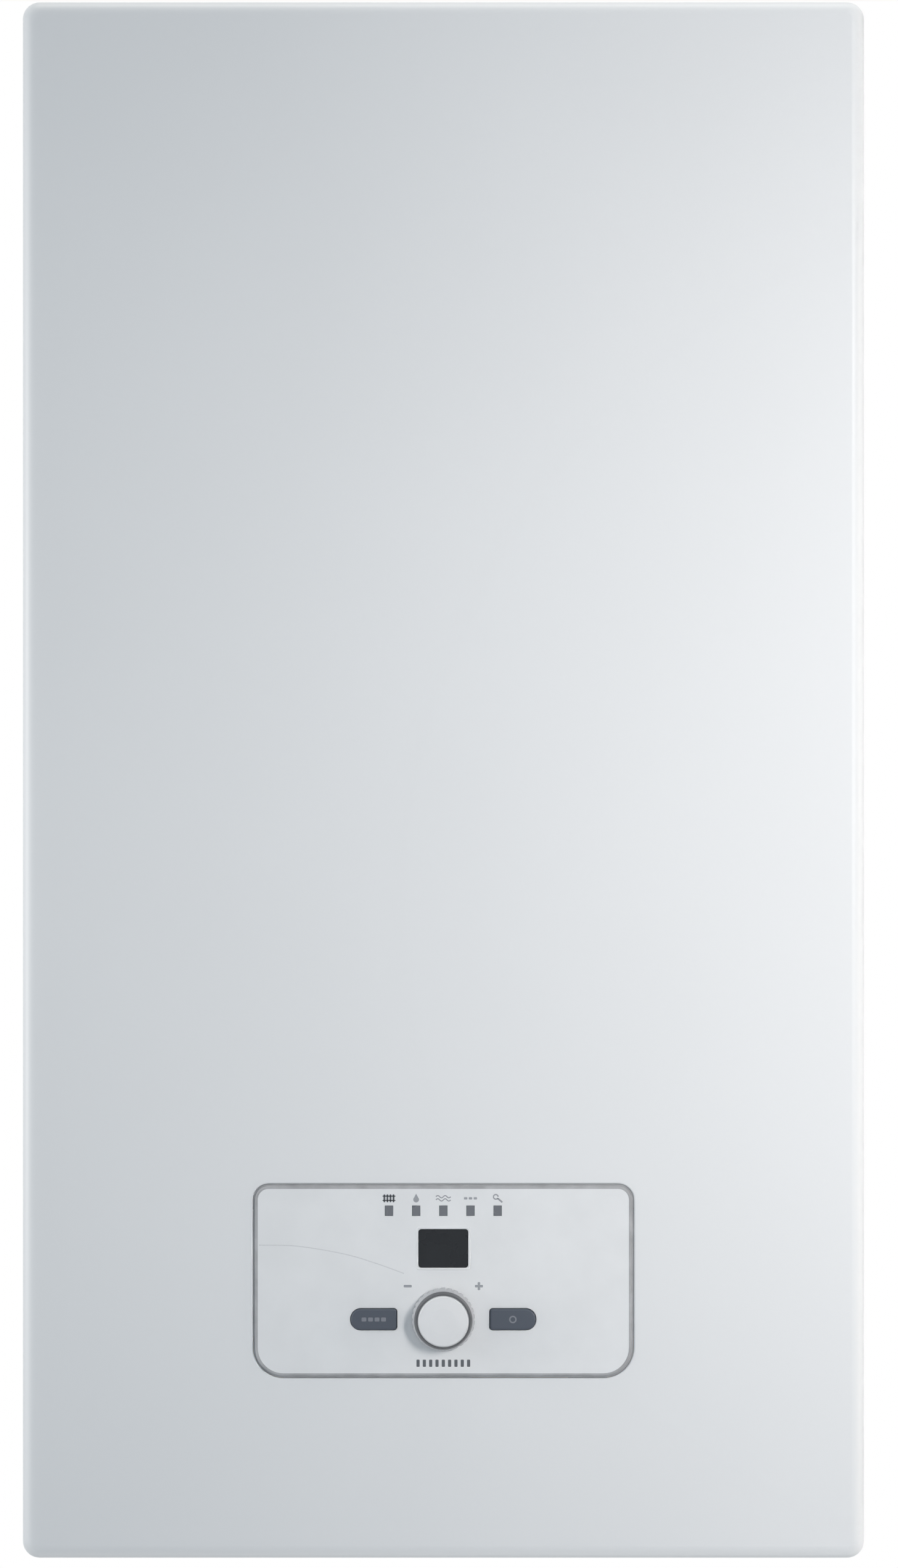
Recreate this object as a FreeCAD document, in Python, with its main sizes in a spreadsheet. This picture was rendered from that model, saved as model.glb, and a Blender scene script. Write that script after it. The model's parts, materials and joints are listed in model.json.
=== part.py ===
"""Wall-hung electric boiler, as separate pieces in one frame.

Millimetres, +Z up, the front looks along -Y and the wall is the plane Y = 0.
The origin is the middle of the two holes of the wall bracket, on the wall.
"""
import FreeCAD, Part
import math
import operator
import os
from types import SimpleNamespace

import Sketcher

V = FreeCAD.Vector

# Driving dimensions: name, millimetres, meaning
SIZES = [
    ("case_width", 400.0, "casing, left to right"),
    ("case_height", 740.0, "casing, floor to top"),
    ("case_depth", 310.0, "casing, wall to front face"),
    ("bracket_drop", 62.0, "casing top above the bracket holes"),
    ("skin", 1.2, "sheet of the casing"),
    ("corner_radius", 8.0, "front cover corners seen from the front"),
    ("edge_radius", 6.0, "rounding round the front face"),
    ("cover_return", 42.0, "depth of the front cover's sides"),
    ("cover_overlap", 22.0, "reach of the body into the front cover"),
    ("cover_play", 0.6, "body clear of the front cover's inner corners"),
    ("flange", 16.0, "width of the bent flanges"),
    ("bay_height", 45.0, "connection bay under the bottom panel"),
    ("bracket_width", 240.0, "wall bracket length"),
    ("bracket_sheet", 2.0, "wall bracket sheet"),
    ("bracket_below", 20.0, "wall bracket below its holes"),
    ("bracket_above", 10.0, "wall bracket step above its holes"),
    ("hook_gap", 2.0, "room behind the hook beside the back panel"),
    ("hook_rise", 12.0, "hook lip height above the step"),
    ("bolt_spacing", 180.0, "between the bracket holes"),
    ("bolt_hole", 4.5, "bracket hole radius"),
    ("stud_radius", 3.0, "cover stud radius"),
    ("stud_base", 6.0, "cover stud foot radius"),
    ("stud_margin", 20.0, "cover studs from the top and bottom trays"),
    ("stud_past", 6.0, "cover stud length behind the flange"),
    ("clip_play", 0.3, "clip bore larger than the stud"),
    ("clip_wall", 1.7, "clip wall"),
    ("screw_radius", 1.9, "case screw shank radius"),
    ("screw_play", 0.1, "case screw hole larger than the shank"),
    ("screw_head", 3.5, "case screw head radius"),
    ("screw_head_high", 2.0, "case screw head height"),
    ("screw_length", 7.0, "case screw shank length"),
    ("panel_width", 180.8, "control window in the cover, width"),
    ("panel_height", 92.2, "control window in the cover, height"),
    ("panel_rise", 86.0, "control window above the casing floor"),
    ("panel_top_round", 7.5, "control window upper corners"),
    ("panel_low_round", 14.5, "control window lower corners"),
    ("panel_gap", 1.0, "gap round the control fascia"),
    ("panel_proud", 0.8, "fascia ahead of the cover"),
    ("rim_round", 0.9, "rounded rims of the window and the fascia"),
    ("fascia_wall", 2.4, "fascia moulding wall"),
    ("fascia_depth", 12.8, "fascia front to the rim of its skirt"),
    ("housing_depth", 33.0, "control housing depth"),
    ("housing_inset", 1.0, "control housing smaller than the fascia"),
    ("board_sheet", 1.6, "circuit board thickness"),
    ("board_margin", 6.0, "circuit board inside the housing"),
    ("board_seat", 2.0, "circuit board behind the skirt rim"),
    ("boss_radius", 3.5, "screw boss radius"),
    ("boss_inset", 9.0, "screw boss from the board edge"),
    ("rail_height", 60.0, "control support rail height"),
    ("rail_flange", 14.0, "control support rail flanges"),
    ("display_width", 23.7, "display window width"),
    ("display_height", 18.4, "display window height"),
    ("display_rise", 61.6, "display centre above the window's lower edge"),
    ("display_round", 1.4, "display window corners"),
    ("display_play", 0.15, "lens smaller than its window"),
    ("display_recess", 0.5, "lens behind the fascia face"),
    ("display_frame", 3.0, "display module wider than its lens"),
    ("lamp_width", 4.0, "indicator lens width"),
    ("lamp_height", 5.0, "indicator lens height"),
    ("lamp_pitch", 12.9, "between indicator lenses"),
    ("lamp_rise", 79.5, "indicator row above the window's lower edge"),
    ("lamp_play", 0.1, "indicator lens smaller than its hole"),
    ("key_rise", 28.0, "knob and buttons above the window's lower edge"),
    ("knob_radius", 15.0, "knob foot radius"),
    ("knob_nose", 13.0, "knob front radius"),
    ("knob_length", 13.0, "knob length"),
    ("knob_gap", 0.5, "knob off the fascia"),
    ("knob_face", 12.2, "pale cap radius"),
    ("knob_face_deep", 1.6, "pale cap seat depth"),
    ("flute_radius", 0.8, "grip flute radius"),
    ("shaft_radius", 3.0, "encoder shaft radius"),
    ("shaft_play", 0.05, "running clearance of shafts"),
    ("encoder_body", 13.0, "encoder block side"),
    ("encoder_deep", 6.5, "encoder block depth"),
    ("bush_radius", 4.5, "encoder bush radius"),
    ("button_length", 21.8, "button length"),
    ("button_height", 10.0, "button height"),
    ("button_reach", 33.0, "button centres from the knob"),
    ("button_round", 4.8, "button outer corners"),
    ("button_inner_round", 1.4, "button inner corners"),
    ("button_proud", 1.6, "button ahead of the fascia"),
    ("button_play", 0.3, "button smaller than its hole"),
    ("button_lip", 1.2, "retaining lip round the button"),
    ("button_travel", 1.2, "button stroke"),
    ("stem_radius", 1.5, "button stem radius"),
    ("switch_side", 6.4, "switch body side"),
    ("switch_deep", 4.3, "switch body depth"),
    ("front_room", 32.0, "jacket behind the front face"),
    ("side_room", 12.0, "jacket from the left panel"),
    ("jacket", 14.0, "insulation thickness"),
    ("jacket_gap", 0.4, "insulation clear of its neighbours"),
    ("vessel_radius", 70.0, "boiler vessel outer radius"),
    ("vessel_wall", 2.0, "boiler vessel wall"),
    ("head_room", 158.0, "vessel flange face below the casing top"),
    ("flange_radius", 86.0, "vessel flange radius"),
    ("flange_sheet", 8.0, "vessel flange thickness"),
    ("gasket_sheet", 2.0, "flange gasket thickness"),
    ("flange_circle", 78.0, "flange bolt circle radius"),
    ("bolt_radius", 4.0, "flange bolt radius"),
    ("bolt_flats", 13.0, "flange bolt head across flats"),
    ("bolt_head", 5.3, "flange bolt head height"),
    ("nut_high", 6.5, "flange nut height"),
    ("port_radius", 13.0, "large port outer radius"),
    ("port_bore", 10.0, "large port bore radius"),
    ("spigot", 7.0, "large port length at a union"),
    ("stub_radius", 13.2, "connection stub radius"),
    ("stub_rise", 6.0, "connection stub end above the casing floor"),
    ("nut_flats", 36.0, "union nut across flats"),
    ("nut_play", 0.1, "union nut bore larger than the port"),
    ("pipe_radius", 11.0, "flow pipe radius"),
    ("pipe_wall", 1.0, "flow pipe wall"),
    ("pipe_bend", 26.0, "flow pipe bend radius"),
    ("nozzle_reach", 16.0, "vessel side nozzle beyond the jacket"),
    ("nozzle_drop", 36.0, "vessel side nozzle below the flange face"),
    ("shelf_sheet", 2.0, "vessel shelf sheet"),
    ("shelf_drop", 40.0, "vessel shelf side flange"),
    ("shelf_past", 6.0, "vessel shelf beyond the vessel"),
    ("hole_play", 1.0, "holes larger than the pipes through them"),
    ("element_radius", 4.25, "heating element radius"),
    ("element_circle", 34.0, "heating elements from the vessel axis"),
    ("element_bend", 13.0, "heating element loop radius"),
    ("element_clear", 34.0, "heating elements above the vessel floor"),
    ("terminal_rise", 16.0, "heating element terminals above the flange"),
    ("sensor_radius", 3.5, "temperature sensor radius"),
    ("sensor_reach", 60.0, "temperature sensor below the flange"),
    ("vent_spigot", 8.0, "air vent thread radius"),
    ("vent_radius", 15.0, "air vent body radius"),
    ("vent_height", 44.0, "air vent body height"),
    ("vent_cap", 6.0, "air vent cap radius"),
    ("manifold_lift", 16.0, "manifolds above the bottom panel"),
    ("manifold_side", 40.0, "manifold block side"),
    ("manifold_height", 34.0, "manifold block height"),
    ("volute_radius", 42.0, "pump volute radius"),
    ("volute_width", 32.0, "pump volute width"),
    ("volute_wall", 5.0, "pump volute wall"),
    ("impeller_radius", 30.0, "impeller radius"),
    ("impeller_width", 14.0, "impeller width"),
    ("motor_radius", 38.0, "pump motor radius"),
    ("motor_length", 74.0, "pump motor length"),
    ("motor_wall", 5.0, "pump motor wall"),
    ("core_radius", 20.0, "pump rotor core radius"),
    ("core_gap", 2.0, "air gap round the rotor core"),
    ("axle_radius", 4.0, "pump shaft radius"),
    ("vessel_nozzle", 46.0, "vessel bottom nozzle length"),
    ("tank_gap", 38.0, "expansion vessel rim from the side panels"),
    ("tank_back", 6.8, "expansion vessel from the back panel"),
    ("tank_front", 18.0, "expansion vessel from the jacket"),
    ("tank_wall", 1.5, "expansion vessel wall"),
    ("tank_rim", 6.0, "expansion vessel rim width"),
    ("tank_rise", 430.0, "expansion vessel centre above the floor"),
    ("clip_width", 30.0, "expansion vessel clip width"),
    ("clip_sheet", 2.0, "expansion vessel clip sheet"),
    ("clip_play_tank", 0.3, "clip off the rim"),
    ("small_pipe", 5.0, "expansion pipe radius"),
    ("small_bend", 18.0, "small pipe bend radius"),
    ("branch_radius", 8.0, "small branch radius"),
    ("branch_reach", 8.0, "small branch length"),
    ("relief_body", 16.0, "relief valve body radius"),
    ("relief_height", 30.0, "relief valve body height"),
    ("relief_bonnet", 12.0, "relief valve bonnet height"),
    ("relief_cap", 17.0, "relief valve cap radius"),
    ("relief_cap_high", 20.0, "relief valve cap height"),
    ("relief_lift", 2.0, "relief valve disc lift"),
    ("relief_seat", 6.0, "relief valve seat bore radius"),
    ("disc_radius", 8.5, "relief valve disc radius"),
    ("drain_pipe", 7.5, "relief drain pipe radius"),
    ("tail_length", 24.0, "relief drain tailpiece length"),
    ("drain_reach", 46.0, "drain cock from the return axis"),
    ("cock_radius", 9.0, "drain cock body radius"),
    ("cock_nozzle", 7.0, "drain nozzle radius"),
    ("cock_rise", 30.0, "drain cock spindle above the casing floor"),
    ("spindle_radius", 3.0, "drain cock spindle radius"),
    ("handle_length", 26.0, "drain cock handle length"),
    ("handle_width", 7.0, "drain cock handle width"),
    ("handle_sheet", 4.0, "drain cock handle thickness"),
    ("electrics_gap", 22.0, "electrics plate from the flow pipe"),
    ("electrics_sheet", 1.5, "electrics plate sheet"),
    ("electrics_behind", 74.0, "electrics plate behind the vessel axis"),
    ("electrics_top", 40.0, "electrics plate below the casing top"),
    ("electrics_foot", 38.0, "electrics plate below the terminal block"),
    ("contactor_width", 54.0, "contactor width"),
    ("contactor_height", 62.0, "contactor height"),
    ("contactor_depth", 68.0, "contactor depth"),
    ("contactor_gap", 6.0, "between contactors"),
    ("electrics_margin", 10.0, "components from the plate edges"),
    ("main_height", 130.0, "main board height"),
    ("standoff_radius", 3.0, "main board standoff radius"),
    ("standoff", 8.0, "main board off the plate"),
    ("terminal_height", 22.0, "terminal block height"),
    ("terminal_depth", 30.0, "terminal block depth"),
    ("cutout_radius", 11.0, "safety cut-out radius"),
    ("cutout_depth", 20.0, "safety cut-out depth"),
    ("reset_radius", 4.0, "reset button radius"),
    ("reset_travel", 2.0, "reset button stroke"),
    ("reset_proud", 5.0, "reset button ahead of the cut-out"),
    ("lead_radius", 2.2, "heater lead radius"),
    ("lead_pitch", 14.0, "between heater leads"),
    ("lead_bend", 12.6, "heater lead bend radius"),
    ("gland_radius", 11.0, "large cable gland thread radius"),
    ("gland_bore", 7.5, "large cable gland bore radius"),
    ("small_gland", 8.0, "small cable gland thread radius"),
    ("small_gland_bore", 4.5, "small cable gland bore radius"),
    ("gland_flange", 4.0, "gland nut beyond its thread"),
    ("gland_length", 20.0, "gland length under the panel"),
    ("gland_inside", 8.0, "gland thread above the panel"),
    ("gland_pitch", 40.0, "between cable glands"),
    ("gland_back", 90.0, "cable glands from the wall"),
]

# Counts
FLUTES = 30
LAMPS = 5
FLANGE_BOLTS = 8
ELEMENTS = 3
CONTACTORS = 3
CAP_GRIPS = 6
POLES = 5

# Shares: the relief valve along its room, and the bends of the expansion vessel's domes
RELIEF_SHARE = 0.65
GRIP_SHARE = 1.15
DOME_FLAT = 0.72
DOME_SHOULDER = 0.92
DOME_BEND = 0.7
DOME_EDGE = 0.2


class Dim:
    """A length with its number and the formula that gives it from the sheet."""

    def __init__(self, value, formula, tied=True):
        self.value = float(value)
        self.formula = formula
        self.tied = tied

    def join(self, other, sign, work, swapped=False):
        first, second = (dim(other), self) if swapped else (self, dim(other))
        formula = f"({first.formula} {sign} {second.formula})"
        return Dim(work(first.value, second.value), formula)

    def __add__(self, other):
        return self.join(other, "+", operator.add)

    def __radd__(self, other):
        return self.join(other, "+", operator.add, swapped=True)

    def __sub__(self, other):
        return self.join(other, "-", operator.sub)

    def __rsub__(self, other):
        return self.join(other, "-", operator.sub, swapped=True)

    def __mul__(self, other):
        return self.join(other, "*", operator.mul)

    def __rmul__(self, other):
        return self.join(other, "*", operator.mul, swapped=True)

    def __truediv__(self, other):
        return self.join(other, "/", operator.truediv)

    def __neg__(self):
        return Dim(-self.value, f"(-1 * {self.formula})")


def dim(amount):
    """The amount itself, or a bare number as a length that follows no cell."""
    if isinstance(amount, Dim):
        return amount
    return Dim(amount, f"({float(amount):.6f})", tied=False)


doc = FreeCAD.newDocument("electric_boiler")
sheet = doc.addObject("Spreadsheet::Sheet", "Sizes")
for row, (alias, amount, meaning) in enumerate(SIZES, start=1):
    sheet.set(f"A{row}", meaning)
    sheet.set(f"B{row}", str(amount))
    sheet.setAlias(f"B{row}", alias)
doc.recompute()
size = SimpleNamespace(**{alias: Dim(sheet.get(alias), f"Sizes.{alias}") for alias, _, _ in SIZES})

# Turns that send an object's own Z along a named direction
ALONG = {
    "+z": FreeCAD.Rotation(),
    "-z": FreeCAD.Rotation(V(1, 0, 0), 180),
    "+x": FreeCAD.Rotation(V(0, 1, 0), 90),
    "-x": FreeCAD.Rotation(V(0, 1, 0), -90),
    "+y": FreeCAD.Rotation(V(1, 0, 0), -90),
    "-y": FreeCAD.Rotation(V(1, 0, 0), 90),
}
SAME = 1e-4
PARTS = []


def bind(item, **fields):
    """Set fields of an object and tie them to the sheet."""
    for field, amount in fields.items():
        amount = dim(amount)
        setattr(item, field, amount.value)
        if amount.tied:
            item.setExpression(field, amount.formula)


def place(item, x=0, y=0, z=0, along="+z"):
    """Put an object at a point, its own Z turned along a direction."""
    spots = [dim(x), dim(y), dim(z)]
    item.Placement = FreeCAD.Placement(V(*[spot.value for spot in spots]), ALONG[along])
    for axis, spot in zip("xyz", spots):
        if spot.tied:
            item.setExpression(f"Placement.Base.{axis}", spot.formula)
    return item


def part(label, item):
    """Name a finished piece, which is then written under that name."""
    item.Label = label
    if item.Label != label:
        raise ValueError(f"two pieces are called {label}")
    PARTS.append(item)
    return item


def block(x, y, z):
    """Box between pairs of limits."""
    box = doc.addObject("Part::Box", "block")
    bind(box, Length=x[1] - x[0], Width=y[1] - y[0], Height=z[1] - z[0])
    return place(box, x[0], y[0], z[0])


def rod(at, along, radius, length):
    """Round bar from a point along a direction."""
    bar = doc.addObject("Part::Cylinder", "rod")
    bind(bar, Radius=radius, Height=length)
    return place(bar, *at, along=along)


def hexagon(at, along, flats, length):
    """Hexagonal bar from a point along a direction."""
    bar = doc.addObject("Part::Prism", "hexagon")
    bar.Polygon = 6
    bind(bar, Circumradius=flats / math.sqrt(3), Height=length)
    return place(bar, *at, along=along)


def fuse(*items):
    """One solid from pieces that meet."""
    joined = doc.addObject("Part::MultiFuse", "joined")
    joined.Shapes = list(items)
    joined.Refine = True
    return joined


def cut(base, *tools):
    """Base with tools taken away."""
    left = doc.addObject("Part::Cut", "cut")
    left.Base = base
    left.Tool = tools[0] if len(tools) == 1 else fuse(*tools)
    return left


def group(items):
    """Separate solids kept as one set."""
    bundle = doc.addObject("Part::Compound", "group")
    bundle.Links = list(items)
    return bundle


def new_sketch(body, role):
    """Sketch on one of a body's own origin planes."""
    sketch = body.newObject("Sketcher::SketchObject", "outline")
    plane = next(item for item in body.Origin.OriginFeatures if item.Role == role)
    sketch.AttachmentSupport = (plane, [""])
    sketch.MapMode = "FlatFace"
    return sketch


def hold(sketch, kind, piece, amount):
    """Tie a coordinate of a piece's first point."""
    amount = dim(amount)
    row = sketch.addConstraint(Sketcher.Constraint(kind, -1, 1, piece, 1, amount.value))
    if amount.tied:
        sketch.setExpression(f"Constraints[{row}]", amount.formula)


def polygon(sketch, points):
    """Closed outline of straight runs, each corner tied to its sizes."""
    spots = [(dim(x), dim(y)) for x, y in points]
    count = len(spots)
    for k, (x, y) in enumerate(spots):
        after = spots[(k + 1) % count]
        end = V(after[0].value, after[1].value, 0)
        sketch.addGeometry(Part.LineSegment(V(x.value, y.value, 0), end))
    for k in range(count):
        sketch.addConstraint(Sketcher.Constraint("Coincident", k, 2, (k + 1) % count, 1))
    for k, (x, y) in enumerate(spots):
        hold(sketch, "DistanceX", k, x)
        hold(sketch, "DistanceY", k, y)


def pad(body, sketch, length, reverse=False):
    """Thicken a body's sketch by a length."""
    step = body.newObject("PartDesign::Pad", "pad")
    step.Profile = sketch
    bind(step, Length=length)
    step.Reversed = reverse
    return step


def extrusion(role, points, length, at=(0, 0, 0)):
    """Body of constant section: along +Z, +X or +Y for XY, YZ and XZ sections."""
    body = doc.addObject("PartDesign::Body", "section")
    sketch = new_sketch(body, role)
    polygon(sketch, points)
    pad(body, sketch, length, reverse=role == "XZ_Plane")
    return place(body, *at)


def turned(profile, at, along="+z"):
    """Body turned round its own axis from (radius, height) corners."""
    body = doc.addObject("PartDesign::Body", "turned")
    sketch = new_sketch(body, "XZ_Plane")
    polygon(sketch, profile)
    spin = body.newObject("PartDesign::Revolution", "spin")
    spin.Profile = sketch
    spin.ReferenceAxis = (sketch, ["V_Axis"])
    spin.Angle = 360
    return place(body, *at, along=along)


def round_edges(body, radius, keep):
    """Round the edges of a body's last step that keep picks by their box."""
    doc.recompute()
    base = body.Tip
    edges = enumerate(base.Shape.Edges, start=1)
    names = [f"Edge{k}" for k, edge in edges if keep(edge.BoundBox)]
    fillet = body.newObject("PartDesign::Fillet", "rounding")
    fillet.Base = (base, names)
    bind(fillet, Radius=radius)
    return body


def hollow(body, wall, keep):
    """Hollow a body inward to a wall, open at the face that keep picks."""
    doc.recompute()
    base = body.Tip
    faces = enumerate(base.Shape.Faces, start=1)
    shell = body.newObject("PartDesign::Thickness", "hollow")
    shell.Base = (base, [f"Face{k}" for k, face in faces if keep(face.BoundBox)])
    bind(shell, Value=wall)
    shell.Reversed = True
    shell.Join = 1
    return body


def upright_corner(right, upper):
    """Test for the front-to-back edge at one corner of a plate round X = 0."""
    def keep(box):
        runs_back = box.YLength > box.XLength + box.ZLength
        return runs_back and (box.XMin > 0) == right and (box.ZMin > 0) == upper
    return keep


def rounded_plate(middle, width, height, y, radii):
    """Upright plate facing the front; radii go left low, right low, right high, left high."""
    body = doc.addObject("PartDesign::Body", "plate")
    sketch = new_sketch(body, "XZ_Plane")
    x, z = width / 2, height / 2
    polygon(sketch, [(-x, -z), (x, -z), (x, z), (-x, z)])
    pad(body, sketch, y[1] - y[0], reverse=True)
    corners = [(False, False), (True, False), (True, True), (False, True)]
    for radius, corner in zip(radii, corners):
        round_edges(body, radius, upright_corner(*corner))
    return place(body, middle[0], y[0], middle[1])


def tube(points, radius, bend):
    """Round bar along straight runs joined by tangent arcs."""
    spots = [V(*[dim(value).value for value in point]) for point in points]
    edges = []
    start = spots[0]
    for before, corner, after in zip(spots, spots[1:], spots[2:]):
        back = (before - corner).normalize()
        ahead = (after - corner).normalize()
        half_turn = (math.pi - back.getAngle(ahead)) / 2
        reach = bend.value * math.tan(half_turn)
        inward = (back + ahead).normalize() * bend.value * (1 / math.cos(half_turn) - 1)
        first = corner + back * reach
        last = corner + ahead * reach
        if (first - start).Length > SAME:
            edges.append(Part.LineSegment(start, first).toShape())
        edges.append(Part.Arc(first, corner + inward, last).toShape())
        start = last
    edges.append(Part.LineSegment(start, spots[-1]).toShape())
    path = Part.Wire(edges)
    heading = spots[1] - spots[0]
    ring = Part.Wire(Part.makeCircle(radius.value, spots[0], heading))
    item = doc.addObject("Part::Feature", "tube")
    item.Shape = path.makePipeShell([ring], True, False)
    return item


# Casing planes
half_width = size.case_width / 2
top = size.bracket_drop
floor = top - size.case_height
front = -size.case_depth
# The square body corners stay inside the cover's round inner corners
body_inset = size.skin + size.cover_play + (size.corner_radius - size.skin) * (1 - math.sqrt(0.5))
body_half = half_width - body_inset
inner_half = body_half - size.skin
body_floor = floor + body_inset
body_top = top - body_inset
body_front = front + size.cover_return - size.cover_overlap
inner_front = body_front + size.skin
bay_top = floor + size.bay_height + size.skin
stud_x = body_half - size.skin - size.flange / 2
window_z = floor + size.panel_rise + size.panel_height / 2
middle_z = (floor + top) / 2
clip_outer = size.clip_play + size.stud_radius + size.clip_wall
back_low = floor + size.bay_height + size.flange
back_high = body_top - size.flange
stud_heights = [back_low + size.stud_margin, back_high - size.stud_margin]
screw_y = -size.flange / 2
screw_spots = [
    (screw_y, back_low + size.flange * 4),
    (screw_y, back_high - size.flange * 4),
    (inner_front + size.flange * 4, body_top - size.flange / 2),
    (screw_y - size.flange * 4, body_top - size.flange / 2),
    (inner_front + size.flange * 4, back_low - size.flange / 2),
    (screw_y - size.flange * 4, back_low - size.flange / 2),
]


def wall_bracket():
    """Hanging rail: flat plate, step and upturned hook."""
    step = size.hook_gap + size.skin
    outline = [
        (0, -size.bracket_below),
        (0, size.bracket_above),
        (-step, size.bracket_above),
        (-step, size.bracket_above + size.hook_rise),
        (-step - size.bracket_sheet, size.bracket_above + size.hook_rise),
        (-step - size.bracket_sheet, size.bracket_above - size.bracket_sheet),
        (-size.bracket_sheet, size.bracket_above - size.bracket_sheet),
        (-size.bracket_sheet, -size.bracket_below),
    ]
    rail = extrusion("YZ_Plane", outline, size.bracket_width, at=(-size.bracket_width / 2, 0, 0))
    holes = [
        rod((side * size.bolt_spacing / 2, size.skin, 0), "-y", size.bolt_hole, size.bracket_sheet * 4)
        for side in (-1, 1)
    ]
    part("wall_bracket", cut(rail, *holes))


def screw_holes():
    """Holes for the case screws, from side to side."""
    radius = size.screw_radius + size.screw_play
    return fuse(*[rod((-half_width, y, z), "+x", radius, size.case_width) for y, z in screw_spots])


def side_panel(label, side, holes):
    """Side sheet with its front flange."""
    edge = side * body_half
    inner = side * inner_half
    lip = side * (body_half - size.flange)
    outline = [
        (edge, 0),
        (edge, body_front),
        (lip, body_front),
        (lip, inner_front),
        (inner, inner_front),
        (inner, 0),
    ]
    sheet_metal = extrusion("XY_Plane", outline, body_top - body_floor, at=(0, 0, body_floor))
    clip_holes = [
        rod((side * stud_x, body_front - size.skin, z), "+y", clip_outer, size.skin * 3)
        for z in stud_heights
    ]
    part(label, cut(sheet_metal, holes, *clip_holes))


def back_panel(holes):
    """Back sheet with side flanges and the opening that hangs on the hook."""
    lip = inner_half - size.skin
    outline = [
        (-inner_half, 0),
        (inner_half, 0),
        (inner_half, -size.flange),
        (lip, -size.flange),
        (lip, -size.skin),
        (-lip, -size.skin),
        (-lip, -size.flange),
        (-inner_half, -size.flange),
    ]
    sheet_metal = extrusion("XY_Plane", outline, back_high - back_low, at=(0, 0, back_low))
    reach = size.bracket_width / 2 + size.bracket_sheet * 3
    low = -size.bracket_below - size.bracket_sheet * 3
    opening = block((-reach, reach), (-size.skin * 2, size.skin), (low, size.bracket_above))
    part("back_panel", cut(sheet_metal, opening, holes))


def shallow_tray(z, pocket_z):
    """Tray between the side panels with a flange all round."""
    outer = block((-inner_half, inner_half), (inner_front, dim(0)), z)
    inside = inner_half - size.skin
    pocket = block((-inside, inside), (inner_front + size.skin, -size.skin), pocket_z)
    return cut(outer, pocket)


def top_panel(holes):
    """Top sheet with its flanges turned down."""
    tray = shallow_tray((back_high, body_top), (back_high - size.skin, body_top - size.skin))
    part("top_panel", cut(tray, holes))


def bottom_panel(holes, ports):
    """Bottom sheet over the connection bay, with its flanges turned up."""
    tray = shallow_tray((bay_top - size.skin, back_low), (bay_top, back_low + size.skin))
    passages = [
        rod((x, y, bay_top - size.skin * 2), "+z", radius, size.skin * 3) for x, y, radius in ports
    ]
    part("bottom_panel", cut(tray, holes, *passages))


def cover_window(cover):
    """Control window in the cover, with its four corners and its rim rounded."""
    middle = window_z - middle_z
    half = size.panel_width / 2
    half_high = size.panel_height / 2
    low, high = middle - half_high, middle + half_high
    sketch = new_sketch(cover, "XZ_Plane")
    polygon(sketch, [(-half, low), (half, low), (half, high), (-half, high)])
    pocket = cover.newObject("PartDesign::Pocket", "window")
    pocket.Profile = sketch
    bind(pocket, Length=size.skin * 3)

    def in_window(box):
        across = max(abs(box.XMin), abs(box.XMax)) < half.value + SAME
        return across and box.ZMin > low.value - SAME and box.ZMax < high.value + SAME

    def corner(upper):
        def keep(box):
            runs_back = box.YLength > box.XLength + box.ZLength
            return runs_back and in_window(box) and (box.ZMin > middle.value) == upper
        return keep

    round_edges(cover, size.panel_low_round, corner(False))
    round_edges(cover, size.panel_top_round, corner(True))
    round_edges(cover, size.rim_round, lambda box: box.YMax < SAME and in_window(box))


def front_cover():
    """Deep-drawn cover with rounded edges and the control window."""
    radius = size.corner_radius
    cover = rounded_plate(
        (0, middle_z), size.case_width, size.case_height, (front, front + size.cover_return), [radius] * 4
    )
    round_edges(cover, size.edge_radius, lambda box: box.YMax < SAME)
    hollow(cover, size.skin, lambda box: box.YMin > SAME and box.YLength < SAME)
    cover_window(cover)
    part("front_cover", cover)


def cover_fixings():
    """Studs welded behind the cover and the clips that they push into."""
    reach = body_front - front + size.stud_past
    stud = [
        (0, 0),
        (size.stud_base, 0),
        (size.stud_base, size.skin),
        (size.stud_radius, size.skin * 2),
        (size.stud_radius, reach - size.stud_radius),
        (size.stud_radius / 2, reach - size.skin),
        (0, reach - size.skin),
    ]
    bore = size.stud_radius + size.clip_play
    clip = [
        (bore, -size.skin),
        (clip_outer + size.clip_wall, -size.skin),
        (clip_outer + size.clip_wall, 0),
        (clip_outer, 0),
        (clip_outer, size.skin * 3),
        (bore, size.skin * 3),
    ]
    spots = [(side * stud_x, z) for side in (-1, 1) for z in stud_heights]
    part("cover_studs", group([turned(stud, (x, front + size.skin, z), "+y") for x, z in spots]))
    part("stud_clips", group([turned(clip, (x, body_front, z), "+y") for x, z in spots]))


def case_screws():
    """Pan-head screws through the side panels."""
    shank = -size.screw_length
    dome = size.screw_head_high
    profile = [
        (0, shank),
        (size.screw_radius, shank),
        (size.screw_radius, 0),
        (size.screw_head, 0),
        (size.screw_head, dome / 3),
        (size.screw_head * 3 / 5, dome),
        (0, dome),
    ]
    sides = [(body_half, "+x"), (-body_half, "-x")]
    screws = [turned(profile, (x, y, z), along) for x, along in sides for y, z in screw_spots]
    part("case_screws", group(screws))


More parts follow.
